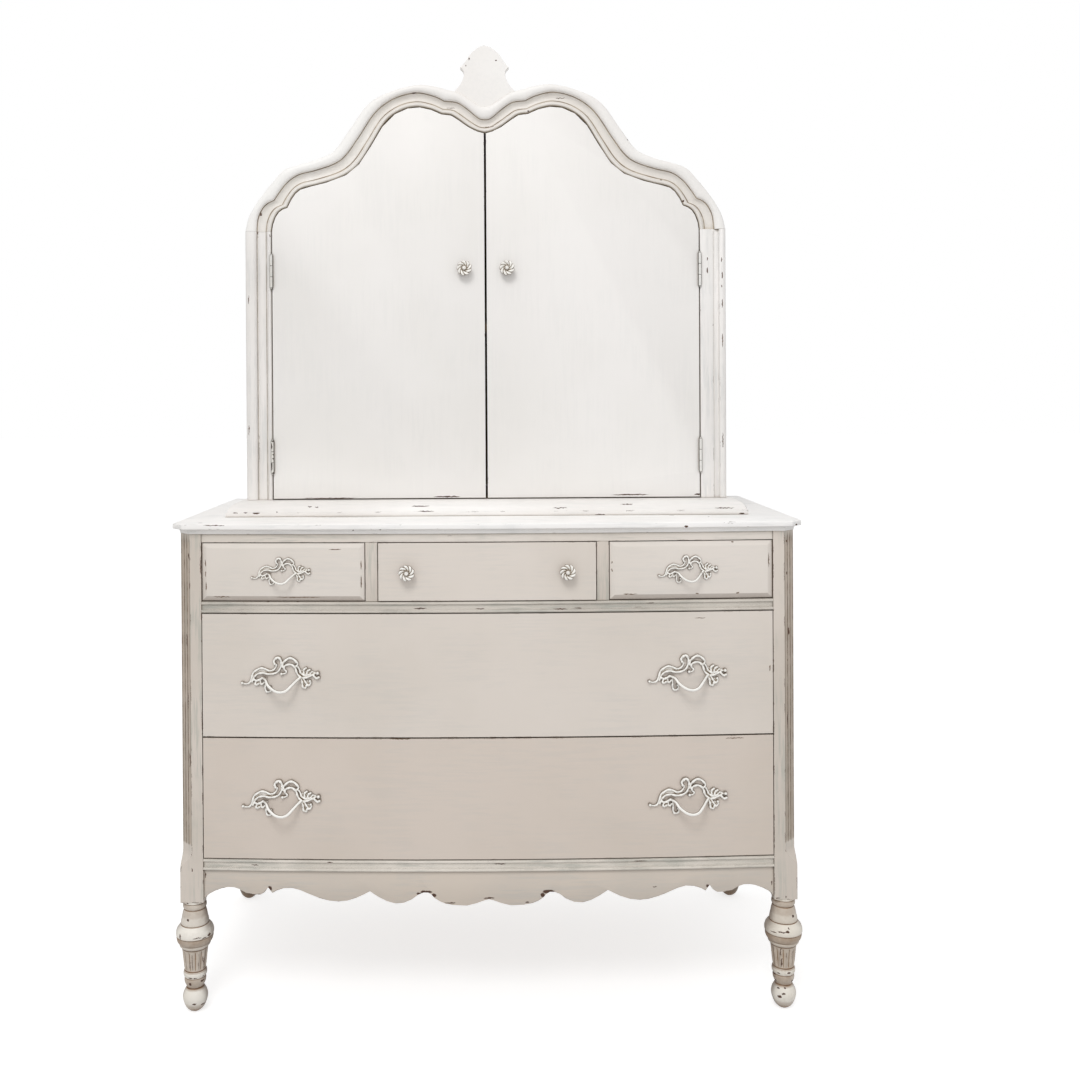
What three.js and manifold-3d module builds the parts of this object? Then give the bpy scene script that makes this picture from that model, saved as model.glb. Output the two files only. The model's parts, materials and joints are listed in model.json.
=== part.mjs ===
// A painted dresser with a two-door arched hutch, in millimetres, +Z up, front towards -Y.
// The origin is the middle of the footprint on the floor.
import * as THREE from "three";
import { mergeVertices } from "three/addons/utils/BufferGeometryUtils.js";
import Module from "manifold-3d";

const wasm = await Module();
wasm.setup();

// Clearances shared by the whole piece of furniture
const seatGap = 0.3; // between two pieces that are fixed face to face
const frontGap = 1.3; // round each drawer front
const runnerGap = 0.5; // under each drawer box
const boxSideGap = 3; // between a drawer box and its guides
const overrun = 5; // how far a cutting solid passes its cut
const weldDistance = 0.0005;

// Lower case
const caseWidth = 1120;
const caseDepth = 500;
const topSurface = 893;
const bowRise = 14;
const boardThickness = 18;
const backThickness = 6;
const backInset = 5;
const dustThickness = 12;
const sideThickness = 16;
const sideInset = 5;
const sideDrop = 48; // how far the sides and the back reach below the lower rail

// Top board
const topThickness = 19.5;
const topSideOverhang = 11.5;
const topFrontOverhang = 13;
const topEdgeDepth = 11; // how far the cove under the rounded lip runs back

// Corner posts and turned legs
const postWidth = 42;
const postCant = 22;
const easedEdge = 1.2;
const fluteDepth = 2.1;
const fluteMargin = 2.6;
const fluteFillet = 1.6;
const fluteCount = 3;
const fluteSteps = 4;
const fluteRunOut = 7;
const fluteTopMargin = 12;
const fluteBottomMargin = 8;
const tongueHeight = 36;
const tongueSteps = 5;
const blockHeight = 58;
const legHeight = 204;
const legRadius = 34;
const legFluteDepth = 2.2;
const legFluteCount = 10;
const legFluteSteps = 2;
const rearLegSides = 8;
const legTenon = 6;

// Front rails, from the top down
const railThickness = 24;
const railInset = 1.5;
const topRailHeight = 15.5;
const smallDrawerHeight = 107;
const middleRailHeight = 21;
const wideDrawerHeight = 225;
const lowWideDrawerHeight = 220.5;
const lowerRailHeight = 21.5;
const beadWidth = 6.5;
const beadRise = 3;
const beadSteps = 3;
const bowSteps = 8;
const smallBowSteps = 6; // over the width of a small drawer
const dividerWidth = 22;
const centreDrawerHalf = 197.5;

// Apron
const apronDrop = 62.5;
const apronThickness = 20;
const apronInset = 4;
const scallopHeight = 33;
const scallopSteps = [7, 4, 6, 12, 1, 12];

// Drawers
const frontThickness = 20;
const drawerWall = 12;
const drawerFloor = 7;
const drawerBackGap = 14;
const bevelWidth = 9;
const bevelDepth = 3.5;
const boxTopGap = 9;

// Pulls and knobs
const widePullWidth = 140;
const smallPullWidth = 106;
const pullRibRadiusShare = 0.024;
const pullTaperShare = 0.42;
const pullRidgeShare = 1.1;
const pullProjectionShare = 0.17;
const pullInset = 151; // from the end of the opening to the pull's middle
const knobRadius = 14.8;
const knobProjection = 21;
const knobPetals = 8;
const knobPetalSteps = 2;
const knobPetalShare = 0.1;
const drawerKnobOffset = 144;
const doorKnobOffset = 41;
const doorKnobHeight = 473;

// Hutch, heights measured from its own foot
const hutchWidth = 927;
const hutchSetback = 132;
const hutchBackInset = 5;
const plinthHeight = 28.5;
const plinthProjection = 33;
const plinthFillet = 8;
const plinthStep = 2;
const plinthCurveSteps = 6;
const jambHeight = 519;
const crestRise = 280.7;
const jambWidth = 49.5;
const bandWidth = 21.5;
const archBandWidth = 14.3;
const archFrameWidth = 40.9;
const frameThickness = 22;
const roofInset = 2;
const roofThickness = 10;
const hutchSideThickness = 18;
const shelfHeight = 352;
const shelfSetback = 8;
const archSteps = [5, 14, 5];

// Finial
const finialHalfWidth = 57.5;
const finialHeight = 75.2;
const finialThickness = 17;
const finialInset = 5;
const finialSteps = 5;

// Doors and hinges
const doorThickness = 19;
const doorFace = 4;
const doorGap = 2.2;
const meetingGap = 4;
const stripWidth = 25;
const stripFace = 2.8;
const stripBack = 6.5;
const hingeLength = 63.5;
const hingeBarrel = 3.2;
const hingePin = 1.5;
const hingeRunning = 0.3;
const leafThickness = 1.4;
const leafSunk = 1;
const leafDepth = 16;
const knuckleCount = 3;
const barrelSides = 8;
const pinSides = 6;
const hingeHeights = [111.8, 469.8];

// Derived places
const caseHalf = caseWidth / 2;
const openingHalf = caseHalf - postWidth;
const pullOffset = openingHalf - pullInset;
const topUnderside = topSurface - topThickness;
const postTop = topUnderside - seatGap;
const topRailBottom = topUnderside - topRailHeight;
const middleRailTop = topRailBottom - smallDrawerHeight;
const middleRailBottom = middleRailTop - middleRailHeight;
const wideDrawerSplit = middleRailBottom - wideDrawerHeight;
const lowerRailTop = wideDrawerSplit - lowWideDrawerHeight;
const lowerRailBottom = lowerRailTop - lowerRailHeight;
const sideBottom = lowerRailBottom - sideDrop;
const innerBack = caseDepth - backInset - backThickness;
const hutchHalf = hutchWidth / 2;
const hutchOpeningHalf = hutchHalf - jambWidth;
const creaseHalf = hutchHalf - bandWidth;
const springHeight = plinthHeight + jambHeight;
const hutchDepth = caseDepth - hutchSetback - hutchBackInset;
const hutchInnerHalf = hutchHalf - hutchSideThickness;
const hingeX = hutchOpeningHalf - doorGap / 2;
const hingeY = doorFace - hingeBarrel - hingeRunning;
const doorBottom = plinthHeight + doorGap;

// Outlines, as shares of the sizes named beside them
// Leg profile: height as a share of legHeight, radius as a share of legRadius
const legShares = [
  [1, 0.56], [0.91, 0.59], [0.884, 0.53], [0.86, 0.63], [0.82, 0.7],
  [0.775, 0.74], [0.74, 0.93], [0.7, 1], [0.65, 0.97], [0.615, 0.87], [0.58, 0.73],
  [0.55, 0.7], [0.53, 0.68], [0.385, 0.565], [0.365, 0.56], [0.336, 0.62],
  [0.305, 0.55], [0.255, 0.45], [0.22, 0.46], [0.19, 0.57], [0.14, 0.66], [0.085, 0.62],
  [0.035, 0.46], [0, 0.26],
];
// Between these two heights, as shares of legHeight, the leg is fluted
const legFluteShares = [0.37, 0.54];
// Lower edge of the apron from its middle: across as a share of its half-width, up of scallopHeight
const apronShares = [
  [[0, 0.34], [0.028, 0.22], [0.07, 0], [0.13, 0.04], [0.165, 0.18], [0.191, 0.43]],
  [[0.191, 0.43], [0.204, 0.65], [0.222, 0.74], [0.247, 0.6]],
  [[0.247, 0.6], [0.283, 0.22], [0.327, 0.12], [0.371, 0.34], [0.4155, 0.78]],
  [[0.4155, 0.78], [0.443, 0.56], [0.482, 0.31], [0.526, 0.21], [0.57, 0.29], [0.615, 0.52],
    [0.659, 0.81], [0.698, 0.95], [0.736, 0.83], [0.758, 0.64]],
  [[0.758, 0.64], [0.773, 0.95]],
  [[0.773, 0.95], [0.79, 0.62], [0.8115, 0.54], [0.8525, 0.64], [0.88, 0.88], [0.908, 0.94],
    [0.9355, 0.87], [0.9687, 0.66], [0.991, 0.43], [1, 0.2]],
];
// The arch from its middle V over a shoulder to the jamb, in three stretches between its cusps:
// across as a share of the line's own half-width, up of the line's own rise over the spring
const innerArchShares = [
  [[0, 0.789], [0.033, 0.802], [0.075, 0.838], [0.117, 0.89], [0.155, 0.932], [0.2, 0.942]],
  [[0.2, 0.942], [0.257, 0.983], [0.321, 1], [0.392, 0.971], [0.463, 0.884], [0.527, 0.709],
    [0.591, 0.541], [0.663, 0.446], [0.769, 0.385], [0.845, 0.355], [0.88, 0.322], [0.907, 0.262],
    [0.926, 0.196]],
  [[0.926, 0.196], [0.952, 0.178], [0.975, 0.14], [0.993, 0.07], [1, 0]],
];
const creaseArchShares = [
  [[0, 0.803], [0.026, 0.812], [0.07, 0.872], [0.097, 0.905], [0.126, 0.93], [0.177, 0.939]],
  [[0.177, 0.939], [0.225, 0.976], [0.302, 1], [0.397, 0.959], [0.479, 0.859], [0.552, 0.682],
    [0.608, 0.554], [0.658, 0.491], [0.745, 0.442], [0.815, 0.413], [0.865, 0.357], [0.9, 0.286],
    [0.924, 0.227]],
  [[0.924, 0.227], [0.956, 0.201], [0.979, 0.156], [0.995, 0.089], [1, 0]],
];
const outerArchShares = [
  [[0, 0.849], [0.024, 0.857], [0.056, 0.89], [0.09, 0.928], [0.12, 0.952], [0.159, 0.966]],
  [[0.159, 0.966], [0.206, 0.988], [0.282, 1], [0.389, 0.956], [0.484, 0.872], [0.563, 0.695],
    [0.615, 0.575], [0.65, 0.527], [0.716, 0.484], [0.787, 0.452], [0.841, 0.416], [0.887, 0.334],
    [0.916, 0.277]],
  [[0.916, 0.277], [0.944, 0.215], [0.967, 0.155], [0.987, 0.088], [1, 0]],
];
// Frame moulding from the door opening out: across as a share of the stretch up to the crease (0 to 1)
// and on to the outer edge (1 to 2), depth behind the front as a share of frameThickness
const mouldingShares = [
  [0, 1], [0, 0.3], [0.13, 0.2], [0.27, 0.34], [0.6, 0.5], [0.92, 0.34], [1, 0.46],
  [1.2, 0.08], [1.55, 0], [1.87, 0.08], [2, 0.26], [2, 1],
];
const plainJambShares = [
  [0, 1], [0, 0.32], [1, 0.32], [1.35, 0.32], [1.42, 0.06], [1.7, 0], [1.9, 0.08], [2, 0.26], [2, 1],
];
// Edge of the top board from its underside up: height as a share of topThickness, inset of topEdgeDepth
const topEdgeShares = [
  [0, 1], [0.2, 0.94], [0.36, 0.74], [0.45, 0.42], [0.53, 0.12], [0.68, 0], [0.84, 0.05], [1, 0.42],
];
// Finial from its foot up: across as a share of finialHalfWidth, up as a share of finialHeight
const finialShares = [
  [[1, 0], [0.94, 0.05], [0.81, 0.15], [0.72, 0.27], [0.69, 0.38], [0.73, 0.46], [0.82, 0.52]],
  [[0.82, 0.52], [0.71, 0.59], [0.62, 0.67]],
  [[0.62, 0.67], [0.52, 0.77], [0.41, 0.85], [0.22, 0.95], [0, 1]],
];
// Scrolls of a pull: knots as shares of the pull's width, and the scroll's own thickness share
const pullScrollShares = [
  { thickness: 0.82, steps: 10, knots: [[-0.543, -0.09], [-0.497, -0.104], [-0.449, -0.086],
    [-0.424, -0.032], [-0.4, 0.039], [-0.358, 0.075], [-0.301, 0.102], [-0.243, 0.09],
    [-0.194, 0.068], [-0.146, 0.075], [-0.109, 0.111], [-0.095, 0.156]] },
  { thickness: 0.86, steps: 8, knots: [[-0.418, -0.086], [-0.394, -0.026], [-0.37, 0.007],
    [-0.327, 0.034], [-0.267, 0.039], [-0.206, 0.026], [-0.146, 0.029], [-0.085, 0.053],
    [-0.049, 0.102], [-0.039, 0.156]] },
  { thickness: 1.1, steps: 5, knots: [[-0.037, 0.15], [-0.039, 0.198], [-0.067, 0.237],
    [-0.103, 0.229], [-0.131, 0.193], [-0.119, 0.156]] },
  { thickness: 1, steps: 6, knots: [[-0.024, 0.108], [-0.012, 0.168], [0.03, 0.211],
    [0.079, 0.233], [0.133, 0.211], [0.176, 0.162], [0.164, 0.132]] },
  { thickness: 0.9, steps: 12, knots: [[-0.03, 0.029], [0.012, 0.033], [0.03, 0.059],
    [0.002, 0.087], [0.006, 0.126], [0.055, 0.15], [0.109, 0.142], [0.148, 0.102], [0.163, 0.053],
    [0.188, 0.011], [0.236, -0.017], [0.291, -0.017], [0.339, 0.002], [0.388, 0.029],
    [0.436, 0.041]] },
  { thickness: 0.85, steps: 4, knots: [[0.17, 0.132], [0.2, 0.083], [0.218, 0.041],
    [0.26, 0.014], [0.309, 0.014], [0.351, 0.041]] },
  { thickness: 0.9, steps: 2, knots: [[0.26, 0.02], [0.255, 0.077], [0.285, 0.104]] },
  { thickness: 0.9, steps: 2, knots: [[0.291, 0.016], [0.303, 0.065], [0.333, 0.083]] },
  { thickness: 1, steps: 2, knots: [[0.375, 0.016], [0.415, -0.024], [0.448, -0.014]] },
  { thickness: 1, steps: 4, knots: [[-0.4, -0.04], [-0.36, -0.058], [-0.318, -0.046],
    [-0.273, -0.023], [-0.224, -0.038]] },
  { thickness: 0.9, steps: 3, knots: [[-0.34, -0.05], [-0.372, -0.086], [-0.362, -0.117],
    [-0.333, -0.098]] },
  { thickness: 0.8, steps: 3, knots: [[-0.31, -0.045], [-0.303, -0.102], [-0.27, -0.094],
    [-0.262, -0.07]] },
  { thickness: 0.8, steps: 5, knots: [[-0.25, -0.035], [-0.243, -0.1], [-0.245, -0.159],
    [-0.229, -0.2], [-0.19, -0.202], [-0.167, -0.172], [-0.18, -0.142]] },
  { thickness: 0.95, steps: 5, knots: [[0.2, 0], [0.225, -0.05], [0.238, -0.09],
    [0.242, -0.135], [0.273, -0.153], [0.288, -0.123]] },
  { thickness: 0.9, steps: 5, knots: [[0.24, -0.017], [0.262, -0.052], [0.285, -0.086],
    [0.315, -0.117], [0.342, -0.092], [0.336, -0.062]] },
];
// The handle of a pull stands forward: its knots also give how far, as a share of its projection
const pullHandleShares = [
  [-0.273, -0.023, 0.08], [-0.224, -0.038, 0.45], [-0.188, -0.086, 0.75], [-0.133, -0.131, 0.9],
  [-0.073, -0.16, 1], [-0.006, -0.17, 1], [0.06, -0.149, 0.95], [0.115, -0.098, 0.75],
  [0.17, -0.046, 0.4], [0.218, -0.008, 0.08],
];
const pullHandleSteps = 9;
const pullHandleSides = 6;
const pullHandleRadiusShare = 0.0204;
// Knob profile: radius as a share of knobRadius, distance from the face of knobProjection, petal depth
const knobShares = [
  [0.46, 0, 0], [0.34, 0.2, 0], [0.6, 0.5, 0.5], [1, 0.66, 1], [0.97, 0.76, 1],
  [0.56, 0.78, 0.5], [0.34, 0.88, 0], [0.16, 1, 0],
];

// Solids

// The finish of one piece: colour, roughness and metalness.
function finish(color, roughness, metalness = 0) {
  return new THREE.MeshStandardMaterial({ color, roughness, metalness });
}

const caseFinish = () => finish(0xded8d0, 0.55);
const drawerFinish = () => finish(0xd8d0c8, 0.55);
const hutchFinish = () => finish(0xece9e5, 0.5);
const bareWoodFinish = () => finish(0x9c7d5a, 0.75);
const castFinish = () => finish(0xd9d8d2, 0.45);
const hingeFinish = () => finish(0xc9c8c2, 0.4, 0.4);

// One named piece at a place in its group.
function piece(name, geometry, material, place = [0, 0, 0]) {
  const mesh = new THREE.Mesh(geometry, material);
  mesh.name = name;
  mesh.position.set(...place);
  return mesh;
}

// A group at a place, holding the given objects.
function assembly(place, ...members) {
  const group = new THREE.Group();
  group.position.set(...place);
  group.add(...members);
  return group;
}

function toSolid(geometry) {
  const bare = geometry.clone();
  bare.deleteAttribute("normal");
  bare.deleteAttribute("uv");
  const welded = mergeVertices(bare, weldDistance);
  const mesh = new wasm.Mesh({
    numProp: 3,
    vertProperties: welded.attributes.position.array,
    triVerts: new Uint32Array(welded.index.array),
  });
  return new wasm.Manifold(mesh);
}

function toGeometry(solid) {
  const mesh = solid.getMesh();
  const geometry = new THREE.BufferGeometry();
  geometry.setAttribute("position", new THREE.BufferAttribute(mesh.vertProperties, 3));
  geometry.setIndex(new THREE.BufferAttribute(mesh.triVerts, 1));
  return geometry;
}

function join(...geometries) {
  return toGeometry(geometries.map(toSolid).reduce((sum, next) => sum.add(next)));
}

function cut(geometry, ...cutters) {
  return toGeometry(cutters.map(toSolid).reduce((rest, next) => rest.subtract(next), toSolid(geometry)));
}

// A box between two corners.
function block([x0, y0, z0], [x1, y1, z1]) {
  const box = new THREE.BoxGeometry(x1 - x0, y1 - y0, z1 - z0);
  return box.translate((x0 + x1) / 2, (y0 + y1) / 2, (z0 + z1) / 2);
}

// A flat outline of [across, up] points, as thick as the stretch from y0 to y1.
function boardAcross(outline, y0, y1) {
  const shape = new THREE.Shape(outline.map(([x, z]) => new THREE.Vector2(x, z)));
  const board = new THREE.ExtrudeGeometry(shape, { depth: y1 - y0, bevelEnabled: false });
  return board.rotateX(Math.PI / 2).translate(0, y1, 0);
}

// An upright cylinder from z0 to z1.
function uprightPin(radius, z0, z1, sides) {
  const pin = new THREE.CylinderGeometry(radius, radius, z1 - z0, sides);
  return pin.rotateX(Math.PI / 2).translate(0, 0, (z0 + z1) / 2);
}

// Triangles over one ring of points, turning the same way as the ring.
function capFaces(ring) {
  const normal = new THREE.Vector3();
  const middle = ring.reduce((sum, point) => sum.add(point), new THREE.Vector3()).divideScalar(ring.length);
  ring.forEach((point, i) => {
    const next = ring[(i + 1) % ring.length];
    normal.add(point.clone().sub(middle).cross(next.clone().sub(middle)));
  });
  normal.normalize();
  const across = ring[1].clone().sub(ring[0]).projectOnPlane(normal).normalize();
  const up = normal.clone().cross(across);
  const flat = ring.map((point) => new THREE.Vector2(point.dot(across), point.dot(up)));
  return THREE.ShapeUtils.triangulateShape(flat, []).map(([a, b, c]) => {
    const turn = flat[b].clone().sub(flat[a]).cross(flat[c].clone().sub(flat[a]));
    return turn > 0 ? [a, b, c] : [a, c, b];
  });
}

function signedVolume(points, faces) {
  return faces.reduce((sum, [a, b, c]) => sum + points[a].dot(points[b].clone().cross(points[c])), 0);
}

// A closed solid over rings of equally many points. Each quad is split along its outer ridge.
function loft(rings) {
  const count = rings[0].length;
  const points = rings.flat();
  const lastRing = (rings.length - 1) * count;
  const quads = [];
  for (let r = 0; r < rings.length - 1; r += 1) {
    for (let i = 0; i < count; i += 1) {
      const next = (i + 1) % count;
      quads.push([r * count + i, r * count + next, (r + 1) * count + next, (r + 1) * count + i]);
    }
  }
  const caps = [
    ...capFaces(rings[0]).map(([a, b, c]) => [c, b, a]),
    ...capFaces(rings[rings.length - 1]).map((face) => face.map((i) => i + lastRing)),
  ];
  const plainSplit = quads.flatMap(([a, b, c, d]) => [[a, b, c], [a, c, d]]);
  const outward = Math.sign(signedVolume(points, [...plainSplit, ...caps]));
  const ridgeSplit = quads.flatMap(([a, b, c, d]) => {
    const [ab, ac, ad] = [b, c, d].map((i) => points[i].clone().sub(points[a]));
    const twist = ab.dot(ac.cross(ad)) * outward;
    return twist > 0 ? [[a, b, d], [b, c, d]] : [[a, b, c], [a, c, d]];
  });
  const faces = [...ridgeSplit, ...caps].map(([a, b, c]) => (outward > 0 ? [a, b, c] : [a, c, b]));
  const geometry = new THREE.BufferGeometry().setFromPoints(points);
  return geometry.setIndex(faces.flat());
}

// Points along curves that run through the knots of each stretch, meeting at its cusps.
function throughKnots(stretches, steps) {
  return stretches.flatMap((knots, s) => {
    const curve = new THREE.SplineCurve(knots.map(([a, b]) => new THREE.Vector2(a, b)));
    const count = Array.isArray(steps) ? steps[s] : steps;
    const points = curve.getPoints(knots.length > 2 ? count : 1);
    return s === 0 ? points : points.slice(1);
  });
}

// The same outline on both sides of the middle, from left to right.
function mirrored(points) {
  const left = points.slice(1).reverse().map(({ x, y }) => new THREE.Vector2(-x, y));
  return [...left, ...points];
}

// Points moved square to their line by a distance, to the left of its run.
function besideLine(points, distance) {
  return points.map((point, i) => {
    const before = points[Math.max(i - 1, 0)];
    const after = points[Math.min(i + 1, points.length - 1)];
    const along = after.clone().sub(before).normalize();
    return new THREE.Vector2(point.x - along.y * distance, point.y + along.x * distance);
  });
}

// The bowed front of the lower case

// How far the bowed front stands forward of the posts at a place across.
function bowAt(x) {
  return bowRise * (1 - (x / openingHalf) ** 2);
}

function bowAngle(x) {
  return Math.atan((2 * bowRise * x) / openingHalf ** 2);
}

// A bar across the front. Its section is [depth, height, follows the bow] points.
function bowedBar(section, x0, x1, steps = bowSteps) {
  const rings = Array.from({ length: steps + 1 }, (_, i) => {
    const x = x0 + ((x1 - x0) * i) / steps;
    return section.map(([y, z, follows]) => new THREE.Vector3(x, y - (follows ? bowAt(x) : 0), z));
  });
  return loft(rings);
}

// A drawer front with a bowed face and a flat back. A bevelled one falls away round its edge.
function bowedPanel(x0, x1, z0, z1, bevel, steps) {
  const inner = Array.from({ length: steps + 1 }, (_, i) => x0 + bevel + ((x1 - x0 - 2 * bevel) * i) / steps);
  const places = bevel > 0 ? [x0, ...inner, x1] : inner;
  const edgeDepth = bevel > 0 ? bevelDepth : 0;
  const rings = places.map((x) => {
    const faceDepth = x === x0 || x === x1 ? edgeDepth : 0;
    const bow = bowAt(x);
    const edge = bevel > 0 ? [[faceDepth - bow, z0 + bevel], [faceDepth - bow, z1 - bevel]] : [];
    const section = [
      [frontThickness, z0],
      [edgeDepth - bow, z0],
      ...edge,
      [edgeDepth - bow, z1],
      [frontThickness, z1],
    ];
    return section.map(([y, z]) => new THREE.Vector3(x, y, z));
  });
  return loft(rings);
}

// Half-round points of a bead that stands forward of a rail, from its lower edge up.
function beadPoints(z0, z1) {
  return Array.from({ length: beadSteps + 1 }, (_, i) => {
    const angle = (Math.PI * i) / beadSteps;
    const z = (z0 + z1) / 2 - (Math.cos(angle) * (z1 - z0)) / 2;
    return [railInset - Math.sin(angle) * beadRise, z, true];
  });
}

// A front rail with a bead along its upper and lower edge.
function beadedRail(z0, z1) {
  const section = [
    [railThickness, z0, false],
    ...beadPoints(z0, z0 + beadWidth),
    ...beadPoints(z1 - beadWidth, z1),
    [railThickness, z1, false],
  ];
  return bowedBar(section, -openingHalf + seatGap, openingHalf - seatGap);
}

function plainRail(z0, z1) {
  const section = [
    [railThickness, z0, false],
    [railInset, z0, true],
    [railInset, z1, true],
    [railThickness, z1, false],
  ];
  return bowedBar(section, -openingHalf + seatGap, openingHalf - seatGap);
}

// Apron: a bowed board whose lower edge is sawn to the scallops.
function apron() {
  const half = openingHalf - seatGap;
  const top = lowerRailBottom - seatGap;
  const bottom = lowerRailBottom - apronDrop;
  const section = [
    [apronInset + apronThickness, bottom, false],
    [apronInset, bottom, true],
    [apronInset, top, true],
    [apronInset + apronThickness, top, false],
  ];
  const edge = mirrored(throughKnots(apronShares, scallopSteps));
  const sawLine = edge.map(({ x, y }) => [x * half, bottom + y * scallopHeight]);
  const waste = [
    [-half - overrun, sawLine[0][1]],
    ...sawLine,
    [half + overrun, sawLine[0][1]],
    [half + overrun, bottom - overrun],
    [-half - overrun, bottom - overrun],
  ];
  const saw = boardAcross(waste, -bowRise - overrun, apronInset + apronThickness + overrun);
  return cut(bowedBar(section, -half, half), saw);
}

// Posts and legs

// One section of a front post at a height: a square whose outer front corner is cut off to the given
// cant, with flutes of the given depth across the cut.
function postRing(side, z, cant, depth) {
  const margin = (fluteMargin / postCant) * Math.SQRT1_2;
  const fillet = (fluteFillet / postCant) * Math.SQRT1_2;
  const fluteShare = (1 - 2 * margin - (fluteCount - 1) * fillet) / fluteCount;
  const flutes = [];
  for (let f = 0; f < fluteCount; f += 1) {
    for (let i = 0; i <= fluteSteps; i += 1) {
      const across = margin + f * (fluteShare + fillet) + (fluteShare * i) / fluteSteps;
      const sunk = Math.sin((Math.PI * i) / fluteSteps) * depth * Math.SQRT1_2;
      flutes.push([postWidth - cant + across * cant - sunk, across * cant + sunk]);
    }
  }
  const outline = [
    [0, 0],
    [postWidth - cant, 0],
    ...flutes,
    [postWidth, cant],
    [postWidth, postWidth],
    [0, postWidth],
  ];
  return outline.map(([x, y]) => new THREE.Vector3(side * (openingHalf + x), y, z));
}

function legRing(z, radius, sides, depth, steps) {
  return Array.from({ length: sides }, (_, i) => {
    const angle = (2 * Math.PI * i) / sides;
    const r = radius - (i % steps === 0 ? 0 : depth);
    return new THREE.Vector3(r * Math.cos(angle), r * Math.sin(angle), z);
  });
}

// A turned leg on its own axis, standing on the floor and tenoned into its block.
function turnedLeg(sides, depth, steps) {
  const rings = legShares.map(([heightShare, radiusShare]) => {
    const fluted = heightShare > legFluteShares[0] && heightShare < legFluteShares[1];
    const z = heightShare * legHeight + (heightShare === 1 ? legTenon : 0);
    return legRing(z, radiusShare * legRadius, sides, fluted ? depth : 0, steps);
  });
  return loft(rings);
}

function frontPost(side) {
  const tongueBottom = legHeight + blockHeight;
  const tongueTop = tongueBottom + tongueHeight;
  const tongue = Array.from({ length: tongueSteps + 1 }, (_, i) => {
    const share = i / tongueSteps;
    const cant = easedEdge + (postCant - easedEdge) * THREE.MathUtils.smootherstep(share, 0, 1);
    return [tongueBottom + share * tongueHeight, cant, 0];
  });
  const fluteBottom = tongueTop + fluteBottomMargin;
  const fluteTop = postTop - fluteTopMargin;
  const sections = [
    [legHeight, easedEdge, 0],
    ...tongue,
    [fluteBottom, postCant, 0],
    [fluteBottom + fluteRunOut, postCant, fluteDepth],
    [fluteTop - fluteRunOut, postCant, fluteDepth],
    [fluteTop, postCant, 0],
    [postTop, postCant, 0],
  ];
  const post = loft(sections.map(([z, cant, depth]) => postRing(side, z, cant, depth)));
  const leg = turnedLeg(legFluteCount * legFluteSteps, legFluteDepth, legFluteSteps);
  leg.translate(side * (openingHalf + postWidth / 2), postWidth / 2, 0);
  return join(post, leg);
}

// A square with its corners eased, as [x, y] points.
function easedSquare(width, ease) {
  return [
    [0, ease], [ease, 0], [width - ease, 0], [width, ease],
    [width, width - ease], [width - ease, width], [ease, width], [0, width - ease],
  ];
}

function rearPost(side) {
  const rings = [legHeight, postTop].map((z) => easedSquare(postWidth, easedEdge)
    .map(([x, y]) => new THREE.Vector3(side * (openingHalf + x), caseDepth - postWidth + y, z)));
  const leg = turnedLeg(rearLegSides, 0, 1);
  leg.translate(side * (openingHalf + postWidth / 2), caseDepth - postWidth / 2, 0);
  return join(loft(rings), leg);
}

// The top board's outline at a height: bowed front, corners cut to the posts' cant.
function topRing(z, inset) {
  const half = caseHalf + topSideOverhang - inset;
  const front = inset - topFrontOverhang;
  const bow = Array.from({ length: bowSteps + 1 }, (_, i) => {
    const x = THREE.MathUtils.lerp(-openingHalf, openingHalf, i / bowSteps);
    return [x, front - bowAt(x)];
  });
  const outline = [
    ...bow,
    [half - postCant, front],
    [half, front + postCant],
    [half, caseDepth],
    [-half, caseDepth],
    [-half, front + postCant],
    [-half + postCant, front],
  ];
  return outline.map(([x, y]) => new THREE.Vector3(x, y, z));
}

// Top board with a rounded lip over a cove along its front and both ends.
function topBoard() {
  return loft(topEdgeShares.map(([up, inset]) => topRing(up * topThickness, inset * topEdgeDepth)));
}

// Pulls and knobs

// One scroll of a pull, flat at the back and tapering to both ends.
function pullScroll({ knots, thickness, steps }, width) {
  const curve = new THREE.SplineCurve(knots.map(([x, z]) => new THREE.Vector2(x * width, z * width)));
  const radius = pullRibRadiusShare * width * thickness;
  const section = [[1, 0], [0, pullRidgeShare], [-1, 0]];
  const rings = Array.from({ length: steps + 1 }, (_, i) => {
    const share = i / steps;
    const point = curve.getPoint(share);
    const along = curve.getTangent(share);
    const size = radius * (pullTaperShare + (1 - pullTaperShare) * Math.sin(Math.PI * share));
    return section.map(([a, b]) => new THREE.Vector3(
      point.x - along.y * a * size,
      -b * size,
      point.y + along.x * a * size,
    ));
  });
  return loft(rings);
}

// The curved handle of a pull, round in section, standing forward between its two roots.
function pullHandle(width) {
  const projection = pullProjectionShare * width;
  const radius = pullHandleRadiusShare * width;
  const knots = pullHandleShares.map(([x, z, out]) => new THREE.Vector3(x * width, -out * projection, z * width));
  const curve = new THREE.CatmullRomCurve3(knots);
  const section = Array.from({ length: pullHandleSides }, (_, i) => {
    const angle = (2 * Math.PI * i) / pullHandleSides;
    return new THREE.Vector2(radius * Math.cos(angle), radius * Math.sin(angle));
  });
  return new THREE.ExtrudeGeometry(new THREE.Shape(section), {
    steps: pullHandleSteps,
    extrudePath: curve,
    bevelEnabled: false,
  });
}

function pull(width) {
  return join(...pullScrollShares.map((scroll) => pullScroll(scroll, width)), pullHandle(width));
}

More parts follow.
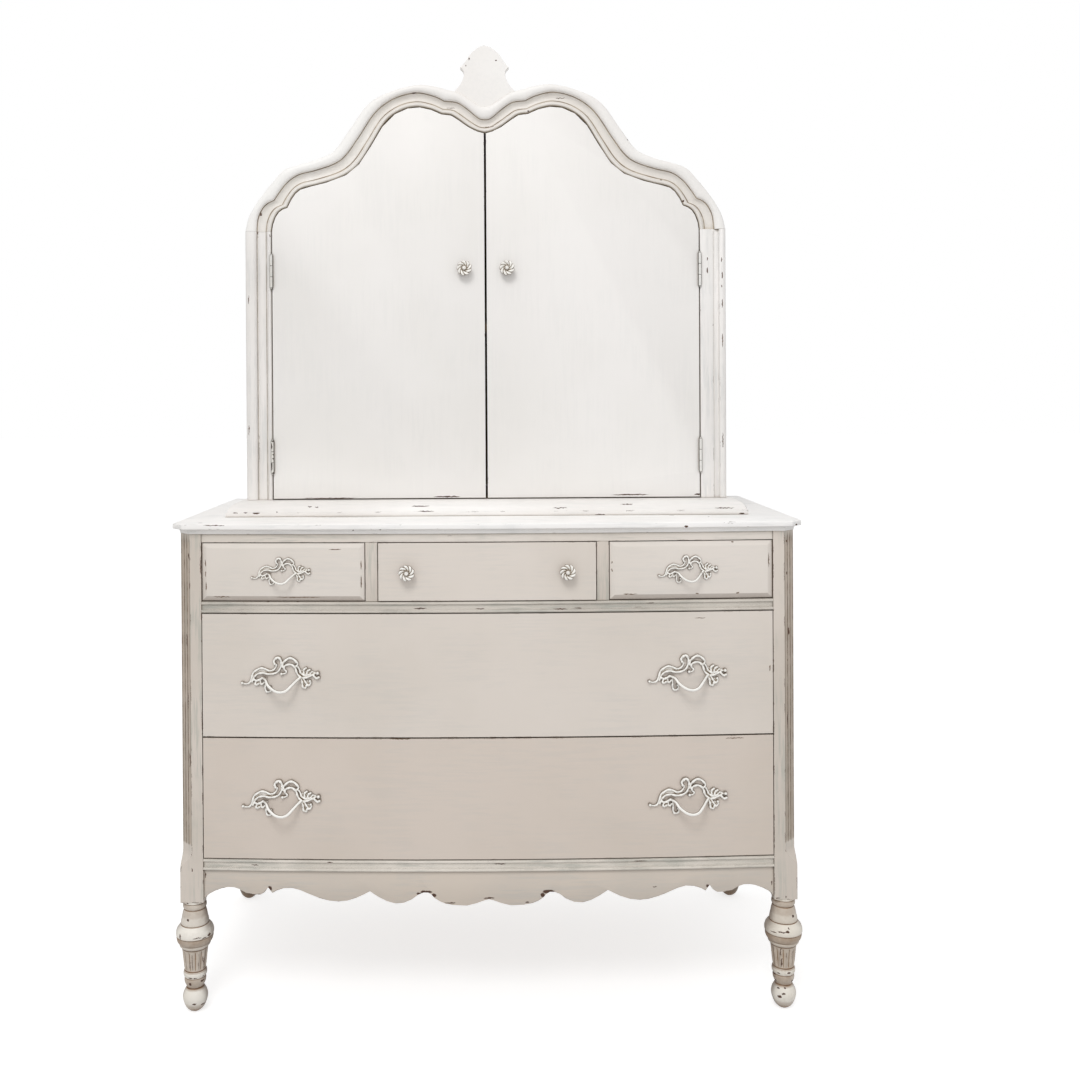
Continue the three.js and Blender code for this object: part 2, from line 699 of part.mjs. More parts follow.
// A cast rosette knob on its own axis, with petals round its rim.
function knob() {
  const sides = knobPetals * knobPetalSteps;
  const rings = knobShares.map(([radiusShare, outShare, petalShare]) => (
    Array.from({ length: sides }, (_, i) => {
      const angle = (2 * Math.PI * i) / sides;
      const petal = i % knobPetalSteps === 0 ? 1 : 1 - knobPetalShare * petalShare;
      const r = radiusShare * knobRadius * petal;
      return new THREE.Vector3(r * Math.cos(angle), -outShare * knobProjection, r * Math.sin(angle));
    })));
  return loft(rings);
}

// A pull or knob seated on the bowed front at a place across and up.
function onBow(name, geometry, x, z) {
  const mesh = piece(name, geometry, castFinish(), [x, -bowAt(x) - seatGap, z]);
  mesh.rotation.z = bowAngle(x);
  return mesh;
}

// Drawers

// The body of a drawer behind its front: two sides, a back and a floor.
function drawerBox(x0, x1, z0, z1) {
  const y0 = frontThickness + seatGap;
  const y1 = innerBack - drawerBackGap;
  const hollow = block(
    [x0 + drawerWall, y0 - overrun, z0 + drawerFloor],
    [x1 - drawerWall, y1 - drawerWall, z1 + overrun],
  );
  return cut(block([x0, y0, z0], [x1, y1, z1]), hollow);
}

// A drawer in its opening. The fittings are [name, geometry, place across] on the middle of its front.
function drawer({ name, left, right, bottom, top, boxBottom, boxTop, bevel = 0, steps = bowSteps, fittings }) {
  const middle = (left + right) / 2;
  const front = bowedPanel(left + frontGap, right - frontGap, bottom + frontGap, top - frontGap, bevel, steps);
  const box = drawerBox(left + boxSideGap, right - boxSideGap, boxBottom, boxTop);
  const parts = [
    piece(`${name}_front`, front, drawerFinish()),
    piece(`${name}_box`, box, bareWoodFinish()),
    ...fittings.map(([fitting, geometry, x]) => onBow(fitting, geometry, x, (bottom + top) / 2)),
  ];
  const group = assembly([middle, 0, bottom], ...parts);
  parts.forEach((part) => {
    part.position.x -= middle;
    part.position.z -= bottom;
  });
  return group;
}

function drawers() {
  const sideInner = centreDrawerHalf + dividerWidth;
  const smallBox = { boxBottom: middleRailTop + runnerGap, boxTop: topRailBottom - boxTopGap };
  const small = { bottom: middleRailTop, top: topRailBottom, ...smallBox, steps: smallBowSteps };
  const wide = { left: -openingHalf, right: openingHalf };
  const lowerDustTop = wideDrawerSplit + dustThickness / 2;
  const widePull = (name, side) => [name, pull(widePullWidth), side * pullOffset];
  const smallPull = (name, side) => [name, pull(smallPullWidth), side * pullOffset];
  return [
    drawer({
      name: "drawer_top_left", left: -openingHalf, right: -sideInner, bevel: bevelWidth, ...small,
      fittings: [smallPull("pull_top_left", -1)],
    }),
    drawer({
      name: "drawer_top_centre", left: -centreDrawerHalf, right: centreDrawerHalf, ...small,
      fittings: [
        ["knob_drawer_left", knob(), -drawerKnobOffset],
        ["knob_drawer_right", knob(), drawerKnobOffset],
      ],
    }),
    drawer({
      name: "drawer_top_right", left: sideInner, right: openingHalf, bevel: bevelWidth, ...small,
      fittings: [smallPull("pull_top_right", 1)],
    }),
    drawer({
      name: "drawer_middle", ...wide, bottom: wideDrawerSplit, top: middleRailBottom,
      boxBottom: lowerDustTop + runnerGap, boxTop: middleRailBottom - boxTopGap,
      fittings: [widePull("pull_middle_left", -1), widePull("pull_middle_right", 1)],
    }),
    drawer({
      name: "drawer_bottom", ...wide, bottom: lowerRailTop, top: wideDrawerSplit,
      boxBottom: lowerRailTop + runnerGap, boxTop: lowerDustTop - dustThickness - boxTopGap,
      fittings: [widePull("pull_bottom_left", -1), widePull("pull_bottom_right", 1)],
    }),
  ];
}

// Lower case

// A dust panel between the posts, its top at a given height, from behind the rails to the back.
function dustPanel(top, front) {
  const half = openingHalf - seatGap;
  return block([-half, front, top - dustThickness], [half, innerBack - seatGap, top]);
}

// An upright board between two small drawers. Its front end stands out as far as the bow does there.
function divider(x) {
  const half = dividerWidth / 2;
  const [bottom, top] = [middleRailTop + seatGap, topRailBottom - seatGap];
  return block([-half, railInset - bowAt(x), bottom], [half, innerBack - seatGap, top]);
}

function sidePanel(side) {
  const outer = caseHalf - sideInset;
  const inner = outer - sideThickness;
  const [x0, x1] = side > 0 ? [inner, outer] : [-outer, -inner];
  return block([x0, postWidth + seatGap, sideBottom], [x1, caseDepth - postWidth - seatGap, postTop]);
}

function lowerCase() {
  const railBack = railThickness + seatGap;
  const dividerX = centreDrawerHalf + dividerWidth / 2;
  const backHalf = openingHalf - seatGap;
  const back = block([-backHalf, innerBack, sideBottom], [backHalf, innerBack + backThickness, postTop]);
  return [
    piece("front_left_post", frontPost(-1), caseFinish()),
    piece("front_right_post", frontPost(1), caseFinish()),
    piece("rear_left_post", rearPost(-1), caseFinish()),
    piece("rear_right_post", rearPost(1), caseFinish()),
    piece("side_panel_left", sidePanel(-1), caseFinish()),
    piece("side_panel_right", sidePanel(1), caseFinish()),
    piece("case_back", back, bareWoodFinish()),
    piece("top_board", topBoard(), hutchFinish(), [0, 0, topUnderside]),
    piece("top_rail", plainRail(topRailBottom, postTop), caseFinish()),
    piece("middle_rail", beadedRail(middleRailBottom, middleRailTop), caseFinish()),
    piece("lower_rail", beadedRail(lowerRailBottom, lowerRailTop), caseFinish()),
    piece("apron", apron(), caseFinish()),
    piece("divider_left", divider(-dividerX), caseFinish(), [-dividerX, 0, 0]),
    piece("divider_right", divider(dividerX), caseFinish(), [dividerX, 0, 0]),
    piece("dust_panel_upper", dustPanel(middleRailTop, railBack), bareWoodFinish()),
    piece("dust_panel_middle", dustPanel(wideDrawerSplit + dustThickness / 2, railBack), bareWoodFinish()),
    piece("dust_panel_bottom", dustPanel(lowerRailTop, railBack), bareWoodFinish()),
  ];
}

// Hutch

// One line of the arch on its right half, from the middle to the spring.
function archLine(shares, halfWidth, rise) {
  const points = throughKnots(shares, archSteps);
  return points.map(({ x, y }) => new THREE.Vector2(x * halfWidth, springHeight + y * rise));
}

const innerArch = archLine(innerArchShares, hutchOpeningHalf, crestRise - archFrameWidth);
const creaseArch = archLine(creaseArchShares, creaseHalf, crestRise - archBandWidth);
const outerArch = archLine(outerArchShares, hutchHalf, crestRise);

// The frame's section between an inner, a crease and an outer point, as a ring.
function frameRing(section, inner, crease, outer) {
  return section.map(([across, depthShare]) => {
    const flat = across <= 1
      ? inner.clone().lerp(crease, across)
      : crease.clone().lerp(outer, across - 1);
    return new THREE.Vector3(flat.x, depthShare * frameThickness, flat.y);
  });
}

function crestRail() {
  const [inner, crease, outer] = [innerArch, creaseArch, outerArch].map(mirrored);
  return loft(inner.map((point, i) => frameRing(mouldingShares, point, crease[i], outer[i])));
}

// A straight stile from the plinth to the spring of the arch, notched for its hinge leaves.
function stile(side, section) {
  const rings = [plinthHeight + seatGap, springHeight - seatGap].map((z) => {
    const [inner, crease, outer] = [hutchOpeningHalf, creaseHalf, hutchHalf]
      .map((x) => new THREE.Vector2(side * x, z));
    return frameRing(section, inner, crease, outer);
  });
  return cut(loft(rings), ...hingeHeights.map((z) => frameNotch(side, z)));
}

// The room that a hinge's fixed leaf takes out of the jamb.
function frameNotch(side, z) {
  const half = hingeLength / 2 + seatGap;
  const [x0, x1] = [hutchOpeningHalf - overrun, hutchOpeningHalf + leafSunk + seatGap];
  const [left, right] = side > 0 ? [x0, x1] : [-x1, -x0];
  return block([left, hingeY, z - half], [right, hingeY + hingeBarrel + leafDepth + seatGap, z + half]);
}

// A flat strip planted over the right jamb, which carries that side's hinges.
function hingeStrip() {
  const x1 = hutchOpeningHalf + stripWidth;
  const strip = block(
    [hutchOpeningHalf, stripFace, plinthHeight + seatGap],
    [x1, stripBack, springHeight - seatGap],
  );
  return cut(strip, ...hingeHeights.map((z) => frameNotch(1, z)));
}

// Finial: a sawn board that stands in the V between the two arches.
function finial() {
  const foot = outerArch.filter(({ x }) => x < finialHalfWidth);
  const beyond = outerArch[foot.length];
  const last = foot[foot.length - 1];
  const share = (finialHalfWidth - last.x) / (beyond.x - last.x);
  foot.push(last.clone().lerp(beyond, share));
  const footTop = foot[foot.length - 1].y;
  const height = springHeight + crestRise + finialHeight - footTop;
  const side = throughKnots(finialShares, finialSteps)
    .map(({ x, y }) => [x * finialHalfWidth, footTop + 2 * seatGap + y * height]);
  const right = [...foot.map(({ x, y }) => [x, y + seatGap]), ...side];
  const left = right.slice(1, -1).reverse().map(([x, z]) => [-x, z]);
  return boardAcross([...right, ...left], finialInset, finialInset + finialThickness);
}

// Roof: a bent skin behind the crest rail, following its outer line over both arches.
function roof() {
  const line = mirrored(outerArch);
  const upper = besideLine(line, -roofInset);
  const lower = besideLine(line, -roofInset - roofThickness);
  const outline = [...upper, ...lower.reverse()].map(({ x, y }) => [x, Math.max(y, springHeight)]);
  return boardAcross(outline, frameThickness + seatGap, hutchDepth);
}

function hutchBack() {
  const under = besideLine(mirrored(outerArch), -roofInset - roofThickness - seatGap);
  const half = hutchInnerHalf - seatGap;
  const outline = [
    [-half, plinthHeight],
    ...under.filter(({ x }) => Math.abs(x) < half).map(({ x, y }) => [x, y]),
    [half, plinthHeight],
  ];
  return boardAcross(outline, hutchDepth - backThickness, hutchDepth);
}

function hutchSide(side) {
  const [x0, x1] = side > 0 ? [hutchInnerHalf, hutchHalf] : [-hutchHalf, -hutchInnerHalf];
  return block(
    [x0, frameThickness + seatGap, plinthHeight + seatGap],
    [x1, hutchDepth, springHeight - seatGap],
  );
}

// Plinth moulding: one section run round the front and both sides, mitred at the front corners.
function plinth() {
  const curveTop = plinthHeight - plinthFillet;
  const curve = Array.from({ length: plinthCurveSteps + 1 }, (_, i) => {
    const angle = (Math.PI / 2) * (i / plinthCurveSteps);
    const out = (plinthProjection - plinthStep) * Math.sin(angle);
    return [out, plinthFillet + curveTop * Math.cos(angle)];
  });
  const section = [
    [-hutchSideThickness, 0],
    [-hutchSideThickness, plinthHeight],
    ...curve,
    [plinthProjection, plinthFillet],
    [plinthProjection, 0],
  ];
  const rings = [
    [-1, 0, hutchDepth],
    [-1, 1, 0],
    [1, 1, 0],
    [1, 0, hutchDepth],
  ].map(([side, mitre, y]) => section.map(([out, z]) => (
    new THREE.Vector3(side * (hutchHalf + out), y - mitre * out, z))));
  return loft(rings);
}

// Hinges and doors

// The knuckles that belong to one leaf: every second one from the first or the second.
function knuckles(first) {
  const length = hingeLength / knuckleCount;
  const spans = [];
  for (let k = first; k < knuckleCount; k += 2) {
    const z = -hingeLength / 2 + k * length;
    spans.push([z + hingeRunning / 2, z + length - hingeRunning / 2]);
  }
  return spans;
}

// A leaf on one side of the hinge axis with its knuckles. The inner side is the gap's half-width.
function leafAndKnuckles(side, first) {
  const inner = doorGap / 2 + leafSunk - leafThickness;
  const [x0, x1] = side > 0 ? [inner, inner + leafThickness] : [-inner - leafThickness, -inner];
  const start = hingeBarrel + hingeRunning;
  const leaf = block([x0, start, -hingeLength / 2], [x1, hingeBarrel + leafDepth, hingeLength / 2]);
  const spans = knuckles(first);
  const necks = spans.map(([z0, z1]) => block([x0, 0, z0], [x1, start + hingeRunning, z1]));
  const barrels = spans.map(([z0, z1]) => uprightPin(hingeBarrel, z0, z1, barrelSides));
  return join(leaf, ...necks, ...barrels);
}

function fixedLeaf(side) {
  const pin = uprightPin(hingePin, -hingeLength / 2 + seatGap, hingeLength / 2 - seatGap, pinSides);
  return join(leafAndKnuckles(side, 0), pin);
}

function movingLeaf(side) {
  const bore = uprightPin(hingePin + hingeRunning, -hingeLength, hingeLength, pinSides);
  return cut(leafAndKnuckles(-side, 1), bore);
}

// A door measured from its hinge axis, which stands at the door's bottom.
function doorPanel(side) {
  const line = innerArch.map(({ x, y }) => new THREE.Vector2(x, y));
  const edge = besideLine(line, -doorGap).filter(({ x }) => x > meetingGap / 2);
  const meeting = new THREE.Vector2(meetingGap / 2, innerArch[0].y - doorGap);
  const outline = [
    [meetingGap / 2, doorBottom],
    [meeting.x, meeting.y],
    ...edge.map(({ x, y }) => [x, y]),
    [hutchOpeningHalf - doorGap, doorBottom],
  ];
  const local = outline.map(([x, z]) => [side * (x - hingeX), z - doorBottom]);
  const face = doorFace - hingeY;
  const notches = hingeHeights.map((height) => {
    const half = hingeLength / 2 + seatGap;
    const z = height - doorBottom;
    const [x0, x1] = [-doorGap / 2 - leafSunk - seatGap, overrun];
    const [left, right] = side > 0 ? [x0, x1] : [-x1, -x0];
    return block([left, 0, z - half], [right, hingeBarrel + leafDepth + seatGap, z + half]);
  });
  return cut(boardAcross(local, face, face + doorThickness), ...notches);
}

function door(side, name) {
  const panel = piece(`door_${name}`, doorPanel(side), hutchFinish());
  const leaves = hingeHeights.map((height, i) => {
    const label = i === 0 ? "lower" : "upper";
    const place = [0, 0, height - doorBottom];
    return piece(`hinge_${name}_${label}_door_leaf`, movingLeaf(side), hingeFinish(), place);
  });
  const knobPlace = [
    side * (doorKnobOffset - hingeX),
    doorFace - hingeY - seatGap,
    doorKnobHeight - doorBottom,
  ];
  const handle = piece(`knob_door_${name}`, knob(), castFinish(), knobPlace);
  return assembly([side * hingeX, hingeY, doorBottom], panel, ...leaves, handle);
}

function fixedLeaves(side, name) {
  return hingeHeights.map((height, i) => {
    const label = i === 0 ? "lower" : "upper";
    const place = [side * hingeX, hingeY, height];
    return piece(`hinge_${name}_${label}_frame_leaf`, fixedLeaf(side), hingeFinish(), place);
  });
}

function hutch() {
  const inner = hutchInnerHalf - seatGap;
  const floorFront = frameThickness + seatGap;
  const innerDepth = hutchDepth - backThickness - seatGap;
  const floor = block([-inner, floorFront, plinthHeight - boardThickness], [inner, innerDepth, plinthHeight]);
  const shelfFront = doorFace + doorThickness + shelfSetback;
  const shelf = block([-inner, shelfFront, shelfHeight], [inner, innerDepth, shelfHeight + boardThickness]);
  return assembly(
    [0, hutchSetback, topSurface + seatGap],
    piece("hutch_plinth", plinth(), hutchFinish()),
    piece("hutch_floor", floor, bareWoodFinish()),
    piece("hutch_side_left", hutchSide(-1), hutchFinish()),
    piece("hutch_side_right", hutchSide(1), hutchFinish()),
    piece("hutch_back", hutchBack(), bareWoodFinish()),
    piece("hutch_roof", roof(), hutchFinish()),
    piece("hutch_shelf", shelf, bareWoodFinish()),
    piece("stile_left", stile(-1, mouldingShares), hutchFinish()),
    piece("stile_right", stile(1, plainJambShares), hutchFinish()),
    piece("hinge_strip", hingeStrip(), hutchFinish()),
    piece("crest_rail", crestRail(), hutchFinish()),
    piece("finial", finial(), hutchFinish()),
    ...fixedLeaves(-1, "left"),
    ...fixedLeaves(1, "right"),
    door(-1, "left"),
    door(1, "right"),
  );
}

// The whole dresser, moved so that the middle of its footprint is the origin
const dresser = assembly([0, 0, 0], ...lowerCase(), ...drawers(), hutch());
const bounds = new THREE.Box3().setFromObject(dresser, true);
dresser.position.set(0, -(bounds.min.y + bounds.max.y) / 2, -bounds.min.z);

const furniture = new THREE.Group();
furniture.add(dresser);
export default furniture;
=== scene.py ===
"""A painted, distressed dresser with an arched two-door hutch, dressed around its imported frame."""
import json
import logging
import math
from dataclasses import dataclass, field, replace
from enum import Enum
from functools import reduce
from typing import Callable, Iterable, Iterator, Sequence

import bmesh
import bpy
from mathutils import Matrix, Vector


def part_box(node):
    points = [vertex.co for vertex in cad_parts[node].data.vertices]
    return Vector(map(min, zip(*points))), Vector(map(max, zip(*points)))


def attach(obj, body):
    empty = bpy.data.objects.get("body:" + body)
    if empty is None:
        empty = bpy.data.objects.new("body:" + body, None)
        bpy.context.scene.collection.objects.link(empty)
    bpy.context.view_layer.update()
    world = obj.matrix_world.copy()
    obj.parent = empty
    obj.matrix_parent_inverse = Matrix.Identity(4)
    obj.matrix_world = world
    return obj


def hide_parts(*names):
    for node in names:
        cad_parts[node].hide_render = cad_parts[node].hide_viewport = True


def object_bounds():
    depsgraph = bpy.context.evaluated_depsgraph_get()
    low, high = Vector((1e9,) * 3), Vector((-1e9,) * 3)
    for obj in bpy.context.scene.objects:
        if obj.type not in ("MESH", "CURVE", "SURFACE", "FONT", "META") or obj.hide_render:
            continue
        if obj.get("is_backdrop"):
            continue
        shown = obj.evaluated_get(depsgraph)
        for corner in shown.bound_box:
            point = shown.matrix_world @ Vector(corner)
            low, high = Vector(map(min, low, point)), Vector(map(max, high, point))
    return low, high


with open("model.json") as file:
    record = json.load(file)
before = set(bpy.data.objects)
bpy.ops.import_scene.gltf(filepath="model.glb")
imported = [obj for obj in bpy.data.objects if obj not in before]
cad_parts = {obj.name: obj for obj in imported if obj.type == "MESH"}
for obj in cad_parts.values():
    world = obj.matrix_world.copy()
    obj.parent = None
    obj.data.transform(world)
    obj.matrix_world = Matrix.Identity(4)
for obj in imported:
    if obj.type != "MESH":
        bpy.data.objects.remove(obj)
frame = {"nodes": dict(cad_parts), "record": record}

LOG = logging.getLogger("dresser")
MM = 0.001
LINE = "line"

Point2 = tuple[float, float]
Point3 = tuple[float, float, float]
Knots = Sequence[Sequence[Point2]]
Ring = list[Vector]
Colour = tuple[float, float, float]
Socket = bpy.types.NodeSocket
Outputs = bpy.types.bpy_prop_collection
EVEN = (1.0, 1.0, 1.0)

# Sizes that several pieces share
POST = 42 * MM
CANT = 22 * MM
BOW_RISE = 14 * MM
BOW_HALF = 518 * MM
FINE_EASE = 0.5 * MM


class Run(Enum):
    """The way that the brush and the grain run on a piece."""

    ACROSS = (0.07, 1.0, 1.0)
    DEEP = (1.0, 0.07, 1.0)
    UP = (1.0, 1.0, 0.07)
    NONE = (1.0, 1.0, 1.0)


# Finishes


def srgb(red: int, green: int, blue: int) -> Colour:
    """Turns a colour as seen on a screen into the linear values that shaders use.

    Args:
        red: Red from 0 to 255.
        green: Green from 0 to 255.
        blue: Blue from 0 to 255.

    Returns:
        The three linear values.
    """
    def linear(value: int) -> float:
        """Returns one linear value."""
        share = value / 255
        return share / 12.92 if share <= 0.04045 else ((share + 0.055) / 1.055) ** 2.4

    return linear(red), linear(green), linear(blue)


@dataclass(frozen=True)
class Spot:
    """A place where the paint is gone: its middle and its half sizes in metres."""

    centre: Sequence[float]
    reach: Sequence[float]


def spots(*rows: Sequence[float]) -> tuple[Spot, ...]:
    """Turns rows of six millimetre values, middle and half sizes, into spots."""
    return tuple(Spot(tuple(v * MM for v in row[:3]), tuple(v * MM for v in row[3:]))
                 for row in rows)


@dataclass(frozen=True)
class PaintFinish:
    """Chalk paint over brown wood, rubbed through at the edges."""

    name: str
    slot: str
    paint: Colour
    shade: Colour
    run: Run = Run.NONE
    streaks: float = 0.25
    streak_colour: Colour = srgb(176, 182, 182)
    wear_width: float = 1.4 * MM
    wear: float = 0.5
    chips: float = 0.3
    # Painted shade, with dirt, in the hollows: its amount, how far it reaches and its colour.
    hollow_shade_and_dirt: float = 0.35
    reach: float = 6 * MM
    shade_and_dirt: Colour = srgb(112, 96, 80)
    # Bare wood, with painted shade, on the faces turned away from the front: where the turn starts
    # and ends, which way the front is, and how much.
    flank: Point2 = (0.2, 0.5)
    front: Sequence[float] = (0.0, -1.0, 0.0)
    bare: float = 0.0
    # Dark lines along the piece: paint rubbed through, and painted shade in creases and hollows.
    lines: float = 0.0
    under: Colour = srgb(84, 56, 40)
    roughness: float = 0.48
    spots: tuple[Spot, ...] = ()


@dataclass(frozen=True)
class WoodFinish:
    """Plain brown wood with its grain along one way."""

    name: str
    slot: str
    light: Colour
    dark: Colour
    run: Run = Run.ACROSS
    roughness: float = 0.62


# Worn spots in millimetres: the middle's x, y and z, and half the size along each
HUTCH_SPOTS = spots(
    (-399, -138, 902.1, 1.6, 4, 1.4), (-478, -140, 901.1, 5.9, 4, 0.9),
    (-459, -140, 901, 4.9, 4, 0.9), (-438, -140, 901.2, 7.8, 1.8, 3),
    (-337, -134, 911.5, 4.8, 4, 0.9), (-324, -135, 910.7, 3.9, 4, 0.9),
    (-127, -134, 911.3, 19.2, 4, 0.9), (-116, -138, 902.1, 17.2, 4, 0.9),
    (267, -133, 912.9, 12.5, 4, 0.9), (452, -138, 905.1, 21.5, 4, 1),
    (484, -140, 894.5, 5.9, 4, 1.4), (139, -137, 906.8, 15.3, 4, 0.9),
    (215, -140, 894.3, 11.5, 4, 0.9), (428, -105, 1382.6, 1.2, 4, 3.2),
    (428, -105, 1360.5, 1.4, 4, 6.7), (455, -107, 1381.2, 1.2, 4, 5.2),
    (456, -107, 1351.4, 1.4, 4, 7.9), (455, -107, 1330.2, 1.4, 4, 2.4),
    (456, -107, 1297.4, 1, 4, 9.9), (456, -107, 1226.1, 0.9, 4, 15.8),
    (-416, -103, 1432, 1, 4, 3.2), (-440, -99, 1440.4, 0.9, 4, 6),
    (-457, -107, 1308.3, 0.9, 4, 9.9), (-458, -106, 1057.7, 0.9, 4, 11.8),
    (456, -107, 1033.3, 1, 4, 15.8),
)
TOP_SPOTS = spots(
    (-240, -255, 880.7, 1.5, 4, 1.6), (-191, -260, 882.5, 2.5, 4.4, 3),
    (-520, -235, 893, 5.7, 1.8, 3), (-489, -253, 890.3, 22.3, 4, 0.9),
    (414, -178, 893, 1.9, 2.2, 3), (349, -153, 893, 5.8, 1.8, 3), (357, -259, 884.4, 3.7, 4, 2.2),
    (559, -242, 884.7, 2.8, 4, 1.9), (-277, -155, 893, 76.5, 1.5, 3),
)
DRAWER_SPOTS = spots(
    (-510, -239, 820.9, 1.1, 4, 7.5), (-510, -239, 800.9, 1.1, 4, 5.7),
    (-509, -239, 779.2, 1.1, 4, 9.5), (-480, -241, 759.7, 18.9, 4, 0.9),
    (-274, -249, 845.4, 12.8, 4, 0.9), (-227, -250, 817.2, 1.1, 4, 9.2),
    (-227, -250, 786.6, 1.1, 4, 12.8), (-338, -246, 758.9, 55.7, 4, 0.9),
    (225, -249, 818.7, 1.1, 4, 2.7), (225, -249, 805.5, 1.1, 4, 3.3),
    (444, -241, 853.7, 2.6, 4, 1.5), (257, -250, 761.9, 14.7, 4, 0.9),
    (379, -246, 761.9, 3, 4, 1.5), (453, -243, 762, 3.4, 4, 1.5), (510, -239, 820.5, 1.1, 4, 15.1),
    (511, -240, 624.8, 1.2, 4, 5.8), (447, -243, 499.1, 19.3, 4, 0.9),
    (-159, -252, 503.5, 22.6, 4, 0.9), (384, -246, 717.4, 11.2, 4, 0.9),
)
POST_SPOTS = spots(
    (-518, -236, 335.3, 1, 4, 10), (-542, -233, 832.8, 1.1, 4, 5.7),
    (-540, -238, 806.3, 0.9, 4, 7.6), (-539, -238, 779.2, 1.1, 4, 7.6),
    (-548, -227, 678.8, 1, 4, 13.5), (-545, -232, 570.7, 1, 4, 17.5),
    (-542, -233, 461.6, 1, 4, 15.8), (-519, -239, 815.5, 0.9, 4, 17),
    (544, -232, 853.9, 1.7, 4, 2.3), (544, -232, 795.7, 1.3, 4, 2.9),
    (549, -226, 688.8, 1.5, 4, 7.7), (546, -231, 637.2, 1.5, 4, 2.9),
    (545, -232, 528.1, 1, 4, 19.5), (-538, -239, 263.9, 1, 4, 4.1), (524, -239, 206.8, 5.1, 4, 1),
    (539, -239, 208.5, 1.4, 4, 2),
)
RAIL_SPOTS = spots(
    (-396, -243, 751, 2.2, 2.4, 3), (-342, -245, 751, 2.8, 2.4, 3),
    (-121, -251, 738.5, 12.8, 4, 1.1), (-13, -252, 737.4, 9.1, 4, 0.9),
    (131, -251, 736.2, 14.7, 4, 1.1), (293, -249, 745.6, 9.2, 4, 0.9),
    (-286, -250, 280.4, 5.9, 4, 1), (20, -252, 276.8, 11.7, 4, 1), (-423, -242, 273.6, 8, 4, 1),
    (273, -250, 280.2, 13.8, 4, 1),
)
ARCH_SPOTS = spots(
    (-30, -102, 1771, 1.2, 4, 3.6), (-36, -102, 1758.5, 1, 4, 2), (22, -102, 1768.2, 2, 4, 1.6),
    (-434, -99, 1474.3, 2, 4, 4), (-137, -100, 1707.6, 6, 1.8, 3), (-66, -97, 1678.3, 10, 4, 0.9),
    (8, -98, 1641, 14, 4, 0.9), (276, -102, 1613.3, 2, 4, 1.6), (340, -99, 1536.5, 2.4, 4, 1.6),
    (84, -103, 1670.1, 2, 4, 1.4), (382, -102, 1495, 2.4, 4, 1.8), (146, -96, 1696.5, 10.1, 4, 0.9),
)
DOOR_SPOTS = spots(
    (277, -103, 928.6, 39.1, 4, 1.2), (408, -103, 928.6, 7.9, 4, 1.8),
    (-77, -103, 926.7, 29.1, 4, 1.4), (-303, -103, 924.9, 58.8, 4, 0.9),
)
LEG_SPOTS = spots(
    (-546, -240, 172.7, 2.7, 6, 2.3), (-527, -250, 144.5, 9.3, 6, 0.9),
    (-516, -243, 141.8, 5.2, 6, 1), (-509, -234, 143.9, 3.5, 6, 2.7),
    (-559, -246, 145.2, 1.7, 6, 6.2), (-543, -239, 66.5, 4.6, 6, 1.3),
    (-534, -238, 65.6, 3.2, 6, 1.3), (-544, -237, 54.4, 2.7, 6, 3.8),
    (-536, -239, 19.4, 4.2, 6, 1.5), (-522, -229, 15.1, 7.2, 6, 1.7),
    (-547, -237, 201.9, 2.1, 6, 1.4), (-522, -230, 96.5, 0.9, 6, 7.3),
    (-544, -237, 89.7, 1, 6, 10.5), (552, -237, 172.7, 2.7, 6, 3.1),
    (515, -242, 146.4, 9.3, 6, 1.1), (528, -250, 149, 9.3, 6, 1.2), (538, -251, 150.5, 4.1, 6, 2.3),
    (541, -248, 155.4, 1.6, 6, 1.6), (529, -238, 107.8, 0.9, 6, 10.4),
    (531, -236, 87.7, 1.3, 6, 9.4), (521, -222, 61.6, 4.2, 6, 1.5), (526, -235, 67.2, 2.9, 6, 1.5),
    (544, -239, 69.4, 4.2, 6, 1.7), (551, -232, 51.8, 2.1, 6, 3.2), (527, -237, 26.3, 4.2, 6, 2.5),
    (534, -239, 31.9, 4.2, 6, 1.9), (526, -232, 39, 1.9, 6, 1.3), (537, -236, 40.9, 2.1, 6, 1.1),
    (-520, -232, 66, 3.3, 6, 2), (-523, -230, 58, 4, 6, 2.2), (521, -225, 50, 3.8, 6, 3.3),
)
APRON_SPOTS = spots(
    (-515, -235, 252.1, 1, 4, 6.1), (514, -236, 232.5, 1.2, 4, 5.1),
    (-113, -249, 225.4, 12, 4, 3.4), (-126, -248, 222, 5, 4, 3), (-99, -249, 219.5, 5, 4, 3.4),
    (0, -249, 214.2, 11, 4, 1.6), (108, -249, 225, 12, 4, 3.8), (97, -249, 219, 4.5, 4, 4.5),
    (-70, -249, 205.6, 11, 4, 1.2), (69, -249, 206.2, 4, 4, 1.5), (-397, -243, 230, 5, 5, 5.5),
    (-420, -242, 218.6, 17, 4, 1.7), (397, -243, 230, 4, 5, 4.5), (300, -246, 231, 5, 4, 0.9),
)
HINGE_SPOTS = spots(
    (-414, -110, 1026, 1.6, 4, 7), (-414, -110, 987.2, 1.6, 4, 8.5),
    (-410, -109, 1010.2, 3.4, 5, 1.3), (-410, -109, 1001.6, 3.4, 5, 1.3),
    (-410, -109, 974.5, 4, 5, 2.2), (-410, -109, 1035.6, 4, 5, 1.6),
)

HUTCH_WHITE = srgb(243, 240, 237)
HUTCH_SHADE = srgb(234, 230, 226)
CASE_WHITE = srgb(222, 212, 202)
CASE_SHADE = srgb(208, 198, 187)

